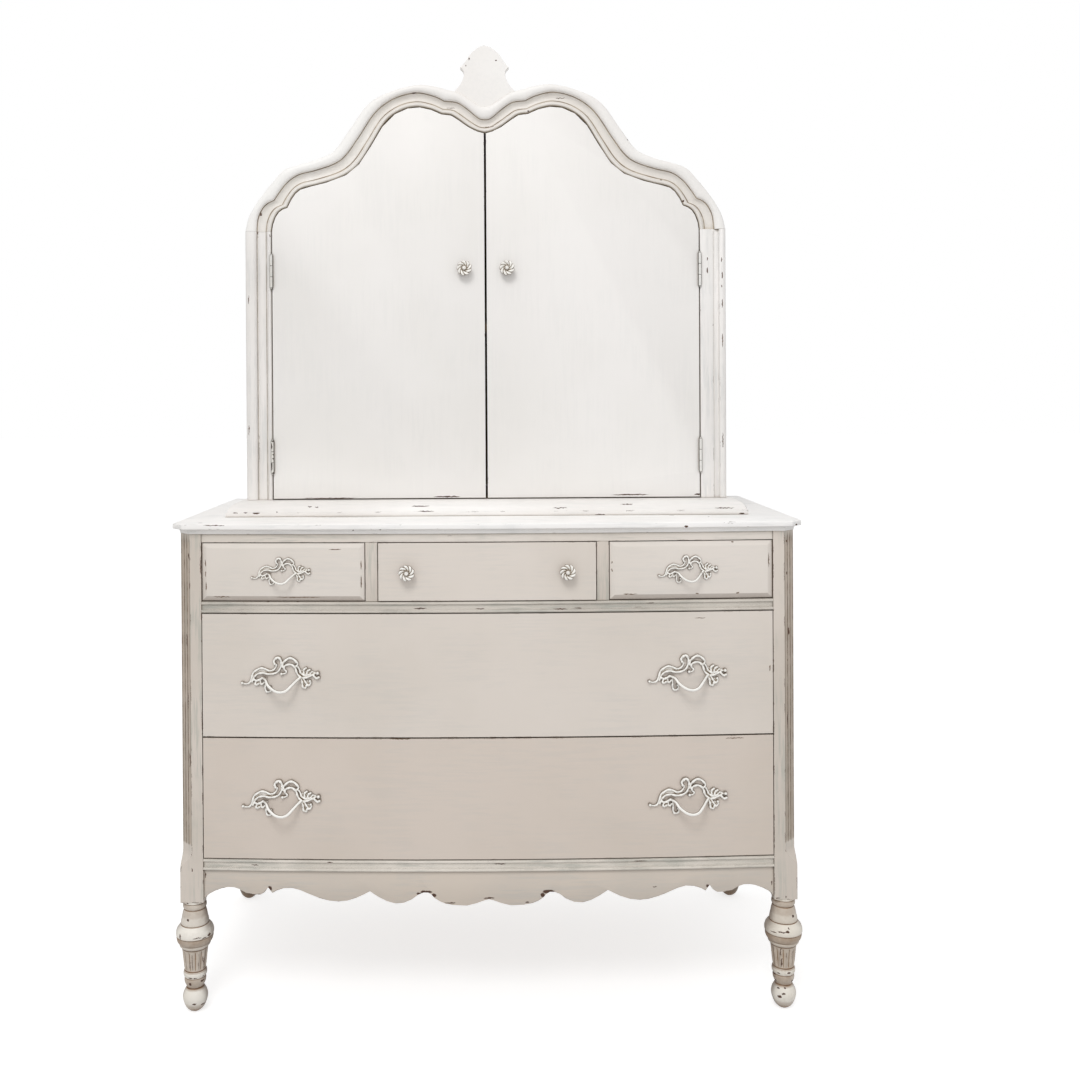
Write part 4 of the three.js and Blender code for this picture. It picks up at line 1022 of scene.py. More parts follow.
def loft(name: str, rings: Sequence[Ring], sharp: float = 35.0) -> bpy.types.Object:
    """Closes a skin over rings of equally many points.

    Args:
        name: The object's name.
        rings: The rings in their order.
        sharp: The angle in degrees from which an edge stays crisp.

    Returns:
        The object.
    """
    count = len(rings[0])
    faces = [[r * count + i, r * count + (i + 1) % count, (r + 1) * count + (i + 1) % count,
              (r + 1) * count + i] for r in range(len(rings) - 1) for i in range(count)]
    last = (len(rings) - 1) * count
    faces += [list(range(count))[::-1], list(range(last, last + count))]
    return solid_piece(name, [p for ring in rings for p in ring], faces, sharp)


def draw_lines(piece: bpy.types.Object, values: Iterable[float]) -> None:
    """Gives a piece's points their share of the dark lines that run along it: paint rubbed through,
    and painted shade in creases and hollows.
    """
    piece.data.attributes.new(LINE, "FLOAT", "POINT").data.foreach_set("value", list(values))


def ease_edges(piece: bpy.types.Object, width: float, segments: int, crisp_from: float) -> None:
    """Rounds a piece's edges over, from an angle in degrees up.

    Args:
        piece: The piece.
        width: The radius of the edges.
        segments: How many flats make the round.
        crisp_from: The angle from which an edge is rounded.
    """
    ease = piece.modifiers.new("eased_edges", "BEVEL")
    ease.width = width
    ease.segments = segments
    ease.limit_method = "ANGLE"
    ease.angle_limit = math.radians(crisp_from)


class Dresser:
    """Gives pieces their finish, their body and the node that they stand for."""

    weld = 0.01 * MM
    flat_to = math.radians(0.15)
    ease_segments = 2

    def __init__(self, shop: Paintshop) -> None:
        """Keeps the paintshop and the shading groups that are already built."""
        self.shop = shop
        self.shading: dict[float, bpy.types.NodeTree] = {}

    @staticmethod
    def _soft_shading(crisp_from: float) -> bpy.types.NodeTree:
        """Returns a geometry group that shades smoothly up to an angle in degrees.

        Args:
            crisp_from: The angle from which an edge stays crisp.

        Returns:
            The group.
        """
        group = bpy.data.node_groups.new("soft_shading", "GeometryNodeTree")
        for way in ("INPUT", "OUTPUT"):
            group.interface.new_socket("Geometry", in_out=way, socket_type="NodeSocketGeometry")
        given, out = group.nodes.new("NodeGroupInput"), group.nodes.new("NodeGroupOutput")
        angle = group.nodes.new("GeometryNodeInputMeshEdgeAngle")
        crisp = group.nodes.new("FunctionNodeCompare")
        crisp.operation = "LESS_EQUAL"
        crisp.inputs[1].default_value = math.radians(crisp_from)
        edges = group.nodes.new("GeometryNodeSetShadeSmooth")
        edges.domain = "EDGE"
        faces = group.nodes.new("GeometryNodeSetShadeSmooth")
        group.links.new(angle.outputs["Unsigned Angle"], crisp.inputs[0])
        group.links.new(given.outputs[0], faces.inputs["Geometry"])
        group.links.new(faces.outputs[0], edges.inputs["Geometry"])
        group.links.new(crisp.outputs[0], edges.inputs["Shade Smooth"])
        group.links.new(edges.outputs[0], out.inputs[0])
        return group

    def paint(self, piece: bpy.types.Object, finish: PaintFinish | WoodFinish) -> None:
        """Gives a piece one finish."""
        piece.data.materials.clear()
        piece.data.materials.append(self.shop.material(finish))

    def node(self, name: str, finish: PaintFinish | WoodFinish, ease: float = 0.8 * MM,
             crisp_from: float = 32.0) -> None:
        """Finishes a node of the frame and eases its edges.

        Args:
            name: The node's name.
            finish: Its finish.
            ease: The radius of its edges.
            crisp_from: The angle in degrees from which an edge stays crisp.
        """
        piece = frame["nodes"][name]
        self.paint(piece, finish)
        piece.modifiers.new("weld", "WELD").merge_threshold = self.weld
        flat = piece.modifiers.new("flat_faces", "DECIMATE")
        flat.decimate_type = "DISSOLVE"
        flat.angle_limit = self.flat_to
        ease_edges(piece, ease, self.ease_segments, crisp_from)
        if crisp_from not in self.shading:
            self.shading[crisp_from] = self._soft_shading(crisp_from)
        piece.modifiers.new("soft_shading", "NODES").node_group = self.shading[crisp_from]
        LOG.info("node %s: %s", name, finish.name)

    def place(self, piece: bpy.types.Object, body: str, finish: PaintFinish | WoodFinish,
              node: str) -> None:
        """Finishes a new piece and joins it to its body.

        Args:
            piece: The piece, in place.
            body: The body that it moves with.
            finish: Its finish.
            node: The frame's node that it stands for.
        """
        self.paint(piece, finish)
        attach(piece, body)
        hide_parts(node)
        LOG.info("piece %s on %s: %s", piece.name, body, finish.name)


# Lower case


@dataclass
class CornerPost:
    """A corner post with its turned leg. Heights and radii of the leg are shares."""

    node: str
    side: int
    front: bool
    width: float = POST
    cant: float = CANT
    eased: float = 1.2 * MM
    flute_depth: float = 2.1 * MM
    flute_margin: float = 2.6 * MM
    flute_fillet: float = 1.6 * MM
    flutes: int = 3
    flute_steps: int = 10
    # How dark the lines at the edges of the flutes are, and the painted shade in their hollows
    flute_rims: float = 0.85
    flute_hollows: float = 0.2
    run_out: float = 7 * MM
    run_out_depth: float = 0.8
    top_margin: float = 12 * MM
    bottom_margin: float = 8 * MM
    tongue: float = 36 * MM
    tongue_steps: int = 16
    block: float = 58 * MM
    leg_height: float = 204 * MM
    leg_radius: float = 34 * MM
    leg_steps: int = 12
    leg_sides: int = 120
    leg_crisp: float = 60.0
    leg_flutes: int = 12
    leg_flute_depth: float = 2.0 * MM
    leg_flute_round: float = 0.8
    leg_flute_ends: float = 9.0
    flute_shares: Point2 = (0.372, 0.562)
    # Dark lines at the cusps of the turning and in the bottoms of the leg's flutes: paint rubbed
    # through, and painted shade
    cusp_line: float = 0.75
    flute_line: float = 0.6
    groove_from: float = 0.98
    line_margin: float = 0.01
    # Stretches of the leg as shares of its height, and how dark each is: painted shade in the
    # hollows and under the swells, with dirt
    leg_shade_and_dirt: Sequence[Point3] = (
        (0.85, 0.98, 0.16), (0.787, 0.85, 0.08), (0.61, 0.69, 0.26), (0.574, 0.61, 0.12),
        (0.36, 0.574, 0.17), (0.2, 0.306, 0.2), (0.0, 0.09, 0.16),
    )
    leg_shares: Knots = (
        ((0.58, 1.03), (0.6, 0.99), (0.6, 0.978), (0.57, 0.973)),
        ((0.57, 0.973), (0.61, 0.962), (0.625, 0.948), (0.61, 0.933), (0.55, 0.921)),
        ((0.55, 0.921), (0.62, 0.895), (0.675, 0.85), (0.73, 0.81), (0.735, 0.793), (0.72, 0.787)),
        ((0.72, 0.787), (0.82, 0.77), (0.94, 0.745), (0.99, 0.72), (1, 0.702), (0.985, 0.686),
         (0.95, 0.681)),
        ((0.95, 0.681), (0.97, 0.667), (0.94, 0.64), (0.87, 0.62), (0.8, 0.613)),
        ((0.8, 0.613), (0.82, 0.602), (0.79, 0.588), (0.7, 0.574)),
        ((0.7, 0.574), (0.66, 0.51), (0.61, 0.43), (0.56, 0.37)),
        ((0.56, 0.37), (0.6, 0.36), (0.62, 0.342), (0.6, 0.322), (0.54, 0.306)),
        ((0.54, 0.306), (0.57, 0.29), (0.555, 0.262), (0.49, 0.238), (0.43, 0.218)),
        ((0.43, 0.218), (0.52, 0.198), (0.62, 0.165), (0.66, 0.13), (0.63, 0.095), (0.53, 0.05),
         (0.4, 0.02), (0.24, 0)),
    )
    axis: Vector = field(init=False)
    top: float = field(init=False)
    lines: list[float] = field(init=False)

    def __post_init__(self) -> None:
        """Takes the post's axis and its top from the frame."""
        low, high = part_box(self.node)
        self.axis = (low + high) / 2
        self.axis.z = 0.0
        self.top = high.z

    def _ring(self, height: float, cant: float, depth: float) -> Ring:
        """Returns the post's section at a height, with its outer front corner cut to the cant.

        Args:
            height: The height over the floor.
            cant: How far the corner is cut off.
            depth: How deep the flutes are.

        Returns:
            The section's points.
        """
        share = 1 / math.sqrt(2) / self.cant
        margin, fillet = self.flute_margin * share, self.flute_fillet * share
        each = (1 - 2 * margin - (self.flutes - 1) * fillet) / self.flutes
        outline = [(0.0, 0.0), (self.width - cant, 0.0)]
        self.lines = [0.0, 0.0]
        for flute in range(self.flutes):
            hollow = [self.flute_hollows] * (self.flute_steps - 1)
            self.lines += [self.flute_rims, *hollow, self.flute_rims]
            for step in range(self.flute_steps + 1):
                across = margin + flute * (each + fillet) + each * step / self.flute_steps
                sunk = math.sin(math.pi * step / self.flute_steps) * depth / math.sqrt(2)
                outline.append((self.width - cant + across * cant - sunk, across * cant + sunk))
        self.lines += [0.0] * 3
        outline += [(self.width, cant), (self.width, self.width), (0.0, self.width)]
        half = self.width / 2
        return [self.axis + Vector((self.side * (x - half), y - half, height)) for x, y in outline]

    def _canted_rings(self) -> list[Ring]:
        """Returns the rings of a front post, from its block to its top.

        Returns:
            The rings.
        """
        low = self.leg_height + self.block
        rings = [self._ring(self.leg_height, self.eased, 0.0)]
        for step in range(self.tongue_steps + 1):
            share = step / self.tongue_steps
            swell = share ** 3 * (share * (6 * share - 15) + 10)
            cant = self.eased + (self.cant - self.eased) * swell
            rings.append(self._ring(low + share * self.tongue, cant, 0.0))
        start = low + self.tongue + self.bottom_margin
        end = self.top - self.top_margin
        half_out, shallow = self.run_out / 2, self.run_out_depth
        stations = [(start, 0.0), (start + half_out, shallow), (start + self.run_out, 1.0),
                    (end - self.run_out, 1.0), (end - half_out, shallow), (end, 0.0),
                    (self.top, 0.0)]
        return rings + [self._ring(height, self.cant, depth * self.flute_depth)
                        for height, depth in stations]

    def _square_rings(self) -> list[Ring]:
        """Returns the rings of a plain rear post.

        Returns:
            The rings.
        """
        ease, far = self.eased, self.width - self.eased
        corners = [(0, ease), (ease, 0), (far, 0), (self.width, ease), (self.width, far),
                   (far, self.width), (ease, self.width), (0, far)]
        half = self.width / 2
        return [[self.axis + Vector((x - half, y - half, height)) for x, y in corners]
                for height in (self.leg_height, self.top)]

    def _leg_rings(self) -> list[Ring]:
        """Returns the rings of the turned leg. A front leg is fluted in its tapered part.

        Returns:
            The rings.
        """
        low, high = self.flute_shares
        rings = []
        for point in through_knots(self.leg_shares, self.leg_steps):
            inside = min(point.y - low, high - point.y) / (high - low)
            cut = min(max(inside * self.leg_flute_ends, 0.0), 1.0) if self.front else 0.0
            ring = []
            for angle in turns(self.leg_sides):
                hollow = abs(math.sin(angle * self.leg_flutes / 2)) ** self.leg_flute_round
                radius = point.x * self.leg_radius - self.leg_flute_depth * cut * hollow
                ring.append(self.axis + Vector((radius * math.cos(angle), radius * math.sin(angle),
                                                point.y * self.leg_height)))
            rings.append(ring)
        return rings

    def _leg_lines(self) -> Iterator[float]:
        """Gives how dark each point of the leg is: its cusps, its flutes and its parts with painted
        shade and grime.
        """
        low, high = self.flute_shares
        for index, point in enumerate(through_knots(self.leg_shares, self.leg_steps)):
            stain = max((dark for foot, top, dark in self.leg_shade_and_dirt if foot <= point.y <= top),
                        default=0.0)
            at_cusp = index % self.leg_steps == 0 and 0 < point.y < 1
            inside = min(point.y - low, high - point.y) > self.line_margin
            for side in range(self.leg_sides):
                depth = abs(math.sin(math.pi * side * self.leg_flutes / self.leg_sides))
                grooved = self.front and inside and depth > self.groove_from
                yield self.flute_line if grooved else self.cusp_line if at_cusp else stain

    def build(self, dresser: Dresser) -> None:
        """Builds the post and its leg.

        Args:
            dresser: Takes the finished pieces.
        """
        label = self.node.removesuffix("_post")
        rings = self._canted_rings() if self.front else self._square_rings()
        upright = loft(f"{label}_upright", rings)
        if self.front:
            lined_rings = range(self.tongue_steps + 3, len(rings) - 1)
            draw_lines(upright, (share * (ring in lined_rings)
                                 for ring in range(len(rings)) for share in self.lines))
        leg = loft(f"{label}_turned_leg", self._leg_rings(), self.leg_crisp)
        draw_lines(leg, self._leg_lines())
        dresser.place(upright, "case", CASE_UPRIGHT, self.node)
        dresser.place(leg, "case", LEG if self.front else SHADED_REAR_LEG, self.node)


@dataclass
class TopBoard:
    """The bowed top with canted corners and a rounded lip over a cove."""

    node: str = "top_board"
    cant: float = CANT
    bow_rise: float = BOW_RISE
    bow_half: float = BOW_HALF
    bow_steps: int = 72
    edge_depth: float = 11 * MM
    edge_steps: int = 7
    edge: Knots = (
        ((0, 1), (0.2, 0.95), (0.34, 0.8), (0.42, 0.5), (0.45, 0.16)),
        ((0.45, 0.16), (0.48, 0.04), (0.56, 0), (0.8, 0), (0.93, 0.07), (1, 0.34)),
    )

    def _ring(self, height: float, inset: float) -> Ring:
        """Returns the board's outline at a height, drawn in by an inset at its front and ends.

        Args:
            height: The height over the floor.
            inset: How far the edge is drawn in.

        Returns:
            The outline's points.
        """
        low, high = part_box(self.node)
        half, front = high.x - inset, low.y + self.bow_rise + inset
        outline = []
        for step in range(self.bow_steps + 1):
            x = self.bow_half * (2 * step / self.bow_steps - 1)
            outline.append((x, front - self.bow_rise * (1 - (x / self.bow_half) ** 2)))
        outline += [(half - self.cant, front), (half, front + self.cant), (half, high.y),
                    (-half, high.y), (-half, front + self.cant), (self.cant - half, front)]
        return [Vector((x, y, height)) for x, y in outline]

    def build(self, dresser: Dresser) -> None:
        """Builds the board from its underside up.

        Args:
            dresser: Takes the finished pieces.
        """
        low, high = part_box(self.node)
        rings = [self._ring(low.z + point.x * (high.z - low.z), point.y * self.edge_depth)
                 for point in through_knots(self.edge, self.edge_steps)]
        dresser.place(loft("moulded_top", rings), "case", TOP, self.node)


@dataclass
class LowerCase:
    """The chest below: posts, rails, sides, top and the boards inside."""

    upright: Sequence[str] = ("side_panel_left", "side_panel_right", "divider_left",
                              "divider_right")
    rails: dict[str, PaintFinish] = field(default_factory=lambda: {
        "top_rail": TOP_RAIL, "middle_rail": MIDDLE_RAIL, "lower_rail": CASE_RAIL})
    inside: Sequence[str] = ("case_back", "dust_panel_upper", "dust_panel_middle",
                             "dust_panel_bottom")

    def build(self, dresser: Dresser) -> None:
        """Finishes the case and builds its four posts.

        Args:
            dresser: Takes the finished pieces.
        """
        for name in self.upright:
            dresser.node(name, CASE_UPRIGHT)
        for name, finish in self.rails.items():
            dresser.node(name, finish, FINE_EASE)
        for name in self.inside:
            dresser.node(name, BARE)
        dresser.node("apron", APRON)
        TopBoard().build(dresser)
        for side, name in ((-1, "left"), (1, "right")):
            CornerPost(f"front_{name}_post", side, True).build(dresser)
            CornerPost(f"rear_{name}_post", side, False).build(dresser)


# Drawers and their castings


@dataclass(frozen=True)
class Scroll:
    """One rib of a cast pull: its knots as shares of the pull's width, and its thickness."""

    knots: Sequence[Point2]
    thickness: float = 1.0


SCROLLS = (
    Scroll(((-0.543, -0.09), (-0.497, -0.104), (-0.449, -0.086), (-0.424, -0.032), (-0.4, 0.039),
            (-0.358, 0.075), (-0.301, 0.102), (-0.243, 0.09), (-0.194, 0.068), (-0.146, 0.075),
            (-0.109, 0.111), (-0.095, 0.156)), 0.95),
    Scroll(((-0.418, -0.086), (-0.394, -0.026), (-0.37, 0.007), (-0.327, 0.034), (-0.267, 0.039),
            (-0.206, 0.026), (-0.146, 0.029), (-0.085, 0.053), (-0.049, 0.102), (-0.039, 0.156))),
    Scroll(((-0.037, 0.15), (-0.039, 0.198), (-0.067, 0.237), (-0.103, 0.229), (-0.131, 0.193),
            (-0.119, 0.156)), 1.2),
    Scroll(((-0.024, 0.108), (-0.012, 0.168), (0.03, 0.211), (0.079, 0.233), (0.133, 0.211),
            (0.176, 0.162), (0.164, 0.132)), 1.1),
    Scroll(((-0.03, 0.029), (0.012, 0.033), (0.03, 0.059), (0.002, 0.087), (0.006, 0.126),
            (0.055, 0.15), (0.109, 0.142), (0.148, 0.102), (0.163, 0.053), (0.188, 0.011),
            (0.236, -0.017), (0.291, -0.017), (0.339, 0.002), (0.388, 0.029), (0.436, 0.041))),
    Scroll(((0.17, 0.132), (0.2, 0.083), (0.218, 0.041), (0.26, 0.014), (0.309, 0.014),
            (0.351, 0.041)), 0.95),
    Scroll(((0.26, 0.02), (0.255, 0.077), (0.285, 0.104)), 1.0),
    Scroll(((0.291, 0.016), (0.303, 0.065), (0.333, 0.083)), 1.0),
    Scroll(((0.333, 0.02), (0.352, 0.05), (0.378, 0.06)), 0.8),
    Scroll(((0.375, 0.016), (0.415, -0.024), (0.448, -0.014)), 1.1),
    Scroll(((-0.4, -0.04), (-0.36, -0.058), (-0.318, -0.046), (-0.273, -0.023),
            (-0.224, -0.038)), 1.1),
    Scroll(((-0.34, -0.05), (-0.372, -0.086), (-0.362, -0.117), (-0.333, -0.098)), 1.0),
    Scroll(((-0.31, -0.045), (-0.303, -0.102), (-0.27, -0.094), (-0.262, -0.07)), 0.9),
    Scroll(((-0.25, -0.035), (-0.243, -0.1), (-0.245, -0.159), (-0.229, -0.2), (-0.19, -0.202),
            (-0.167, -0.172), (-0.18, -0.142)), 0.9),
    Scroll(((0.2, 0), (0.225, -0.05), (0.238, -0.09), (0.242, -0.135), (0.273, -0.153),
            (0.288, -0.123)), 1.05),
    Scroll(((0.24, -0.017), (0.262, -0.052), (0.285, -0.086), (0.315, -0.117), (0.342, -0.092),
            (0.336, -0.062)), 1.0),
)
WEBS = (
    ((-0.449, -0.086), (-0.424, -0.032), (-0.4, 0.039), (-0.358, 0.075), (-0.301, 0.102),
     (-0.243, 0.09), (-0.194, 0.068), (-0.146, 0.075), (-0.13, 0.045), (-0.146, 0.029),
     (-0.206, 0.026), (-0.267, 0.039), (-0.327, 0.034), (-0.37, 0.007), (-0.394, -0.026),
     (-0.418, -0.086)),
    ((0.188, 0.011), (0.2, 0.083), (0.255, 0.077), (0.285, 0.104), (0.303, 0.065), (0.333, 0.083),
     (0.378, 0.06), (0.436, 0.041), (0.388, 0.029), (0.339, 0.002), (0.291, -0.017),
     (0.236, -0.017)),
    ((0.2, 0), (0.236, -0.017), (0.262, -0.052), (0.336, -0.062), (0.342, -0.092), (0.315, -0.117),
     (0.288, -0.123), (0.273, -0.153), (0.242, -0.135), (0.238, -0.09), (0.225, -0.05)),
)
BALLS = (
    (-0.543, -0.09, 1.3), (-0.03, 0.029, 1.35), (0.436, 0.041, 1.5), (-0.119, 0.156, 1.2),
    (-0.333, -0.098, 1.15), (-0.18, -0.142, 1.1), (0.288, -0.123, 1.2), (0.336, -0.062, 1.2),
    (0.164, 0.132, 1.15), (0.285, 0.104, 1.0), (0.333, 0.083, 1.0), (0.448, -0.014, 1.2),
)
HANDLE = (
    (-0.273, -0.023, 0.08), (-0.224, -0.038, 0.45), (-0.188, -0.086, 0.75), (-0.133, -0.131, 0.9),
    (-0.073, -0.16, 1), (-0.006, -0.17, 1), (0.06, -0.149, 0.95), (0.115, -0.098, 0.75),
    (0.17, -0.046, 0.4), (0.218, -0.008, 0.08),
)


@dataclass
class CastPull:
    """A scrolled bail pull cast in one piece, seated on a bowed drawer front."""

    node: str
    body: str
    rib_share: float = 0.018
    taper_share: float = 0.68
    ridge_share: float = 1.8
    dome: float = 0.8
    ripple_share: float = 0.14
    ripples: float = 1.6
    ball_share: float = 0.019
    ball_tip: float = 0.02
    web_share: float = 0.008
    projection_share: float = 0.17
    handle_share: float = 0.0204
    sides: int = 12
    steps_each: int = 6
    grain: float = 0.42 * MM
    wide: float = 140 * MM
    narrow: float = 106 * MM
    wide_from: float = 120 * MM
    bow_rise: float = BOW_RISE
    bow_half: float = BOW_HALF
    seat: float = 0.3 * MM
    inset: float = 151 * MM

    def _rib(self, scroll: Scroll, width: float) -> list[Ring]:
        """Returns the rings of one rib, domed in front and flat behind.

        Args:
            scroll: The rib's knots and thickness.
            width: The pull's width.

        Returns:
            The rings.
        """
        knots = [Vector((x * width, 0.0, z * width)) for x, z in scroll.knots]
        points = sweep_points(knots, self.steps_each * (len(knots) - 1))
        rings = []
        for index, (point, along) in enumerate(zip(points, directions(points))):
            share = index / (len(points) - 1)
            across = Vector((-along.z, 0.0, along.x))
            swell = self.taper_share + (1 - self.taper_share) * math.sin(math.pi * share)
            wave = math.sin(2 * math.pi * share * len(knots) / self.ripples)
            ripple = 1 + self.ripple_share * wave
            size = self.rib_share * width * scroll.thickness * swell * ripple
            ring = []
            for side in range(self.sides + 1):
                angle = math.pi * side / self.sides
                out = size * self.ridge_share * math.sin(angle) ** self.dome
                forward = Vector((0.0, -max(out, 0.0), 0.0))
                ring.append(point + across * math.cos(angle) * size + forward)
            rings.append(ring)
        return rings

    def _ball(self, ball: Point3, width: float) -> list[Ring]:
        """Returns the rings of the round knop that ends a curl, cut flat behind.

        Args:
            ball: Its place as shares of the width, and its size.
            width: The pull's width.

        Returns:
            The rings.
        """
        x, z, size = ball
        radius = self.ball_share * width * size
        levels = self.sides // 2
        rings = []
        for level in range(levels + 1):
            rise = math.pi / 2 * level / levels
            out, spread = math.sin(rise) * self.ridge_share, max(math.cos(rise), self.ball_tip)
            rings.append([Vector((x * width + radius * spread * math.cos(a), -radius * out,
                                  z * width + radius * spread * math.sin(a)))
                          for a in turns(self.sides)])
        return rings

    def _handle(self, width: float) -> list[Ring]:
        """Returns the rings of the curved handle that stands forward.

        Args:
            width: The pull's width.

        Returns:
            The rings.
        """
        reach, size = self.projection_share * width, self.handle_share * width
        knots = [Vector((x * width, -out * reach, z * width)) for x, z, out in HANDLE]
        points = sweep_points(knots, self.steps_each * (len(knots) - 1))
        rings = []
        for point, along in zip(points, directions(points)):
            side = along.cross(Vector((0.0, 1.0, 0.0))).normalized()
            up = side.cross(along)
            rings.append([point + (side * math.cos(a) + up * math.sin(a)) * size
                          for a in turns(self.sides)])
        return rings

    def _web(self, web: Sequence[Point2], width: float) -> list[Ring]:
        """Returns the two faces of a thin web between ribs."""
        return [[Vector((x * width, y, z * width)) for x, z in web]
                for y in (0.0, -self.web_share * width)]

    def _seat(self, left: bool) -> Matrix:
        """Returns the pull's place on its drawer: square to the bow, half way up the front.

        Args:
            left: Whether it stands left of the middle.

        Returns:
            The place and the turn.
        """
        across = (-1 if left else 1) * (self.bow_half - self.inset)
        bow = self.bow_rise * (1 - (across / self.bow_half) ** 2)
        turn = math.atan(2 * self.bow_rise * across / self.bow_half ** 2)
        post_low, post_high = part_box("front_left_post")
        face = (post_low.y + post_high.y) / 2 - POST / 2
        low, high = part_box(f"{self.body}_front")
        place = Matrix.Translation((across, face - bow - self.seat, (low.z + high.z) / 2))
        return place @ Matrix.Rotation(turn, 4, "Z")

    def build(self, dresser: Dresser) -> None:
        """Casts the pull and seats it where its node is.

        Args:
            dresser: Takes the finished pieces.
        """
        low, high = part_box(self.node)
        width = self.wide if high.x - low.x > self.wide_from else self.narrow
        parts = [loft("rib", self._rib(scroll, width)) for scroll in SCROLLS]
        parts += [loft("ball", self._ball(ball, width)) for ball in BALLS]
        parts += [loft("web", self._web(web, width)) for web in WEBS]
        parts.append(loft("handle", self._handle(width)))
        piece = fuse(f"{self.node}_casting", parts, self.grain * width / self.wide)
        piece.data.transform(self._seat(low.x <= 0))
        dresser.place(piece, self.body, CASTING, self.node)


def join_parts(name: str, parts: Sequence[bpy.types.Object]) -> bpy.types.Object:
    """Gathers separate solids in one object.

    Args:
        name: The object's name.
        parts: The solids, which are used up.

    Returns:
        The object.
    """
    shape = bmesh.new()
    for part in parts:
        shape.from_mesh(part.data)
        bpy.data.objects.remove(part)
    mesh = bpy.data.meshes.new(name)
    shape.to_mesh(mesh)
    shape.free()
    return new_object(name, mesh)


def fuse(name: str, parts: Sequence[bpy.types.Object], grain: float, softness: float = 0.5,
         passes: int = 2) -> bpy.types.Object:
    """Runs separate ribs together as one casting.

    Args:
        name: The casting's name.
        parts: The ribs, which are used up.
        grain: The size of the finest detail that is kept.
        softness: How far each pass smooths.
        passes: How many passes it gets.

    Returns:
        The casting.
    """
    made = join_parts(name, parts)
    remesh = made.modifiers.new("cast", "REMESH")
    remesh.mode = "VOXEL"
    remesh.voxel_size = grain
    soften = made.modifiers.new("soften", "SMOOTH")
    soften.factor = softness
    soften.iterations = passes
    view = bpy.context.evaluated_depsgraph_get()
    result = bpy.data.meshes.new_from_object(made.evaluated_get(view))
    made.modifiers.clear()
    made.data = result
    result.name = name
    result.shade_smooth()
    return made


@dataclass
class RosetteKnob:
    """A small cast knob with scalloped petals that turn a little round its middle."""

    node: str
    body: str
    petals: int = 9
    sides: int = 180
    steps_each: int = 5
    petal_share: float = 0.17
    groove_share: float = 0.16
    groove_round: float = 0.6
    twist: float = 1.1
    crisp: float = 70.0
    shares: Sequence[Point3] = (
        (0.5, 0, 0), (0.36, 0.18, 0), (0.6, 0.46, 0.5), (0.96, 0.6, 1), (1, 0.7, 1),
        (0.93, 0.82, 1), (0.74, 0.88, 1), (0.5, 0.82, 0.9), (0.34, 0.76, 0.5), (0.3, 0.84, 0.2),
        (0.24, 0.95, 0.3), (0.12, 1, 0.1), (0.02, 0.97, 0),
    )

    def build(self, dresser: Dresser) -> None:
        """Casts the knob inside the box of its node.

        Args:
            dresser: Takes the finished pieces.
        """
        low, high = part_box(self.node)
        middle = (low + high) / 2
        radius, reach = (high.z - low.z) / 2, high.y - low.y
        profile = sweep_points([Vector(share) for share in self.shares],
                               self.steps_each * (len(self.shares) - 1))
        rings = []
        for point in profile:
            ring = []
            for angle in turns(self.sides):
                turned = (angle + self.twist * (1 - point.x)) * self.petals / 2
                groove = 1 - abs(math.sin(turned)) ** self.groove_round
                scallop = max(point.z, 0.0) * groove
                size = max(point.x, 0.0) * radius * (1 - self.petal_share * scallop)
                out = min(point.y, 1.0) * reach * (1 - self.groove_share * scallop)
                ring.append(Vector((middle.x + size * math.cos(angle), high.y - out,
                                    middle.z + size * math.sin(angle))))
            rings.append(ring)
        casting = loft(f"{self.node}_rosette", rings, self.crisp)
        dresser.place(casting, self.body, CASTING, self.node)


@dataclass
class DrawerStack:
    """The five drawers with their pulls and knobs."""

    drawers: dict[str, PaintFinish] = field(default_factory=lambda: {
        "drawer_top_left": BEVELLED, "drawer_top_centre": DRAWER, "drawer_top_right": BEVELLED,
        "drawer_middle": WIDE_DRAWER, "drawer_bottom": SHADED_LOWEST_DRAWER})
    bevel_from: float = 12.0
    pulls: Sequence[tuple[str, str]] = (
        ("pull_top_left", "drawer_top_left"), ("pull_top_right", "drawer_top_right"),
        ("pull_middle_left", "drawer_middle"), ("pull_middle_right", "drawer_middle"),
        ("pull_bottom_left", "drawer_bottom"), ("pull_bottom_right", "drawer_bottom"),
    )

    def build(self, dresser: Dresser) -> None:
        """Finishes the drawers and casts their fittings.

        Args:
            dresser: Takes the finished pieces.
        """
        for name, finish in self.drawers.items():
            dresser.node(f"{name}_front", finish, FINE_EASE, self.bevel_from)
            dresser.node(f"{name}_box", BARE)
        for node, body in self.pulls:
            CastPull(node, body).build(dresser)
        for name in ("left", "right"):
            RosetteKnob(f"knob_drawer_{name}", "drawer_top_centre").build(dresser)


# Hutch


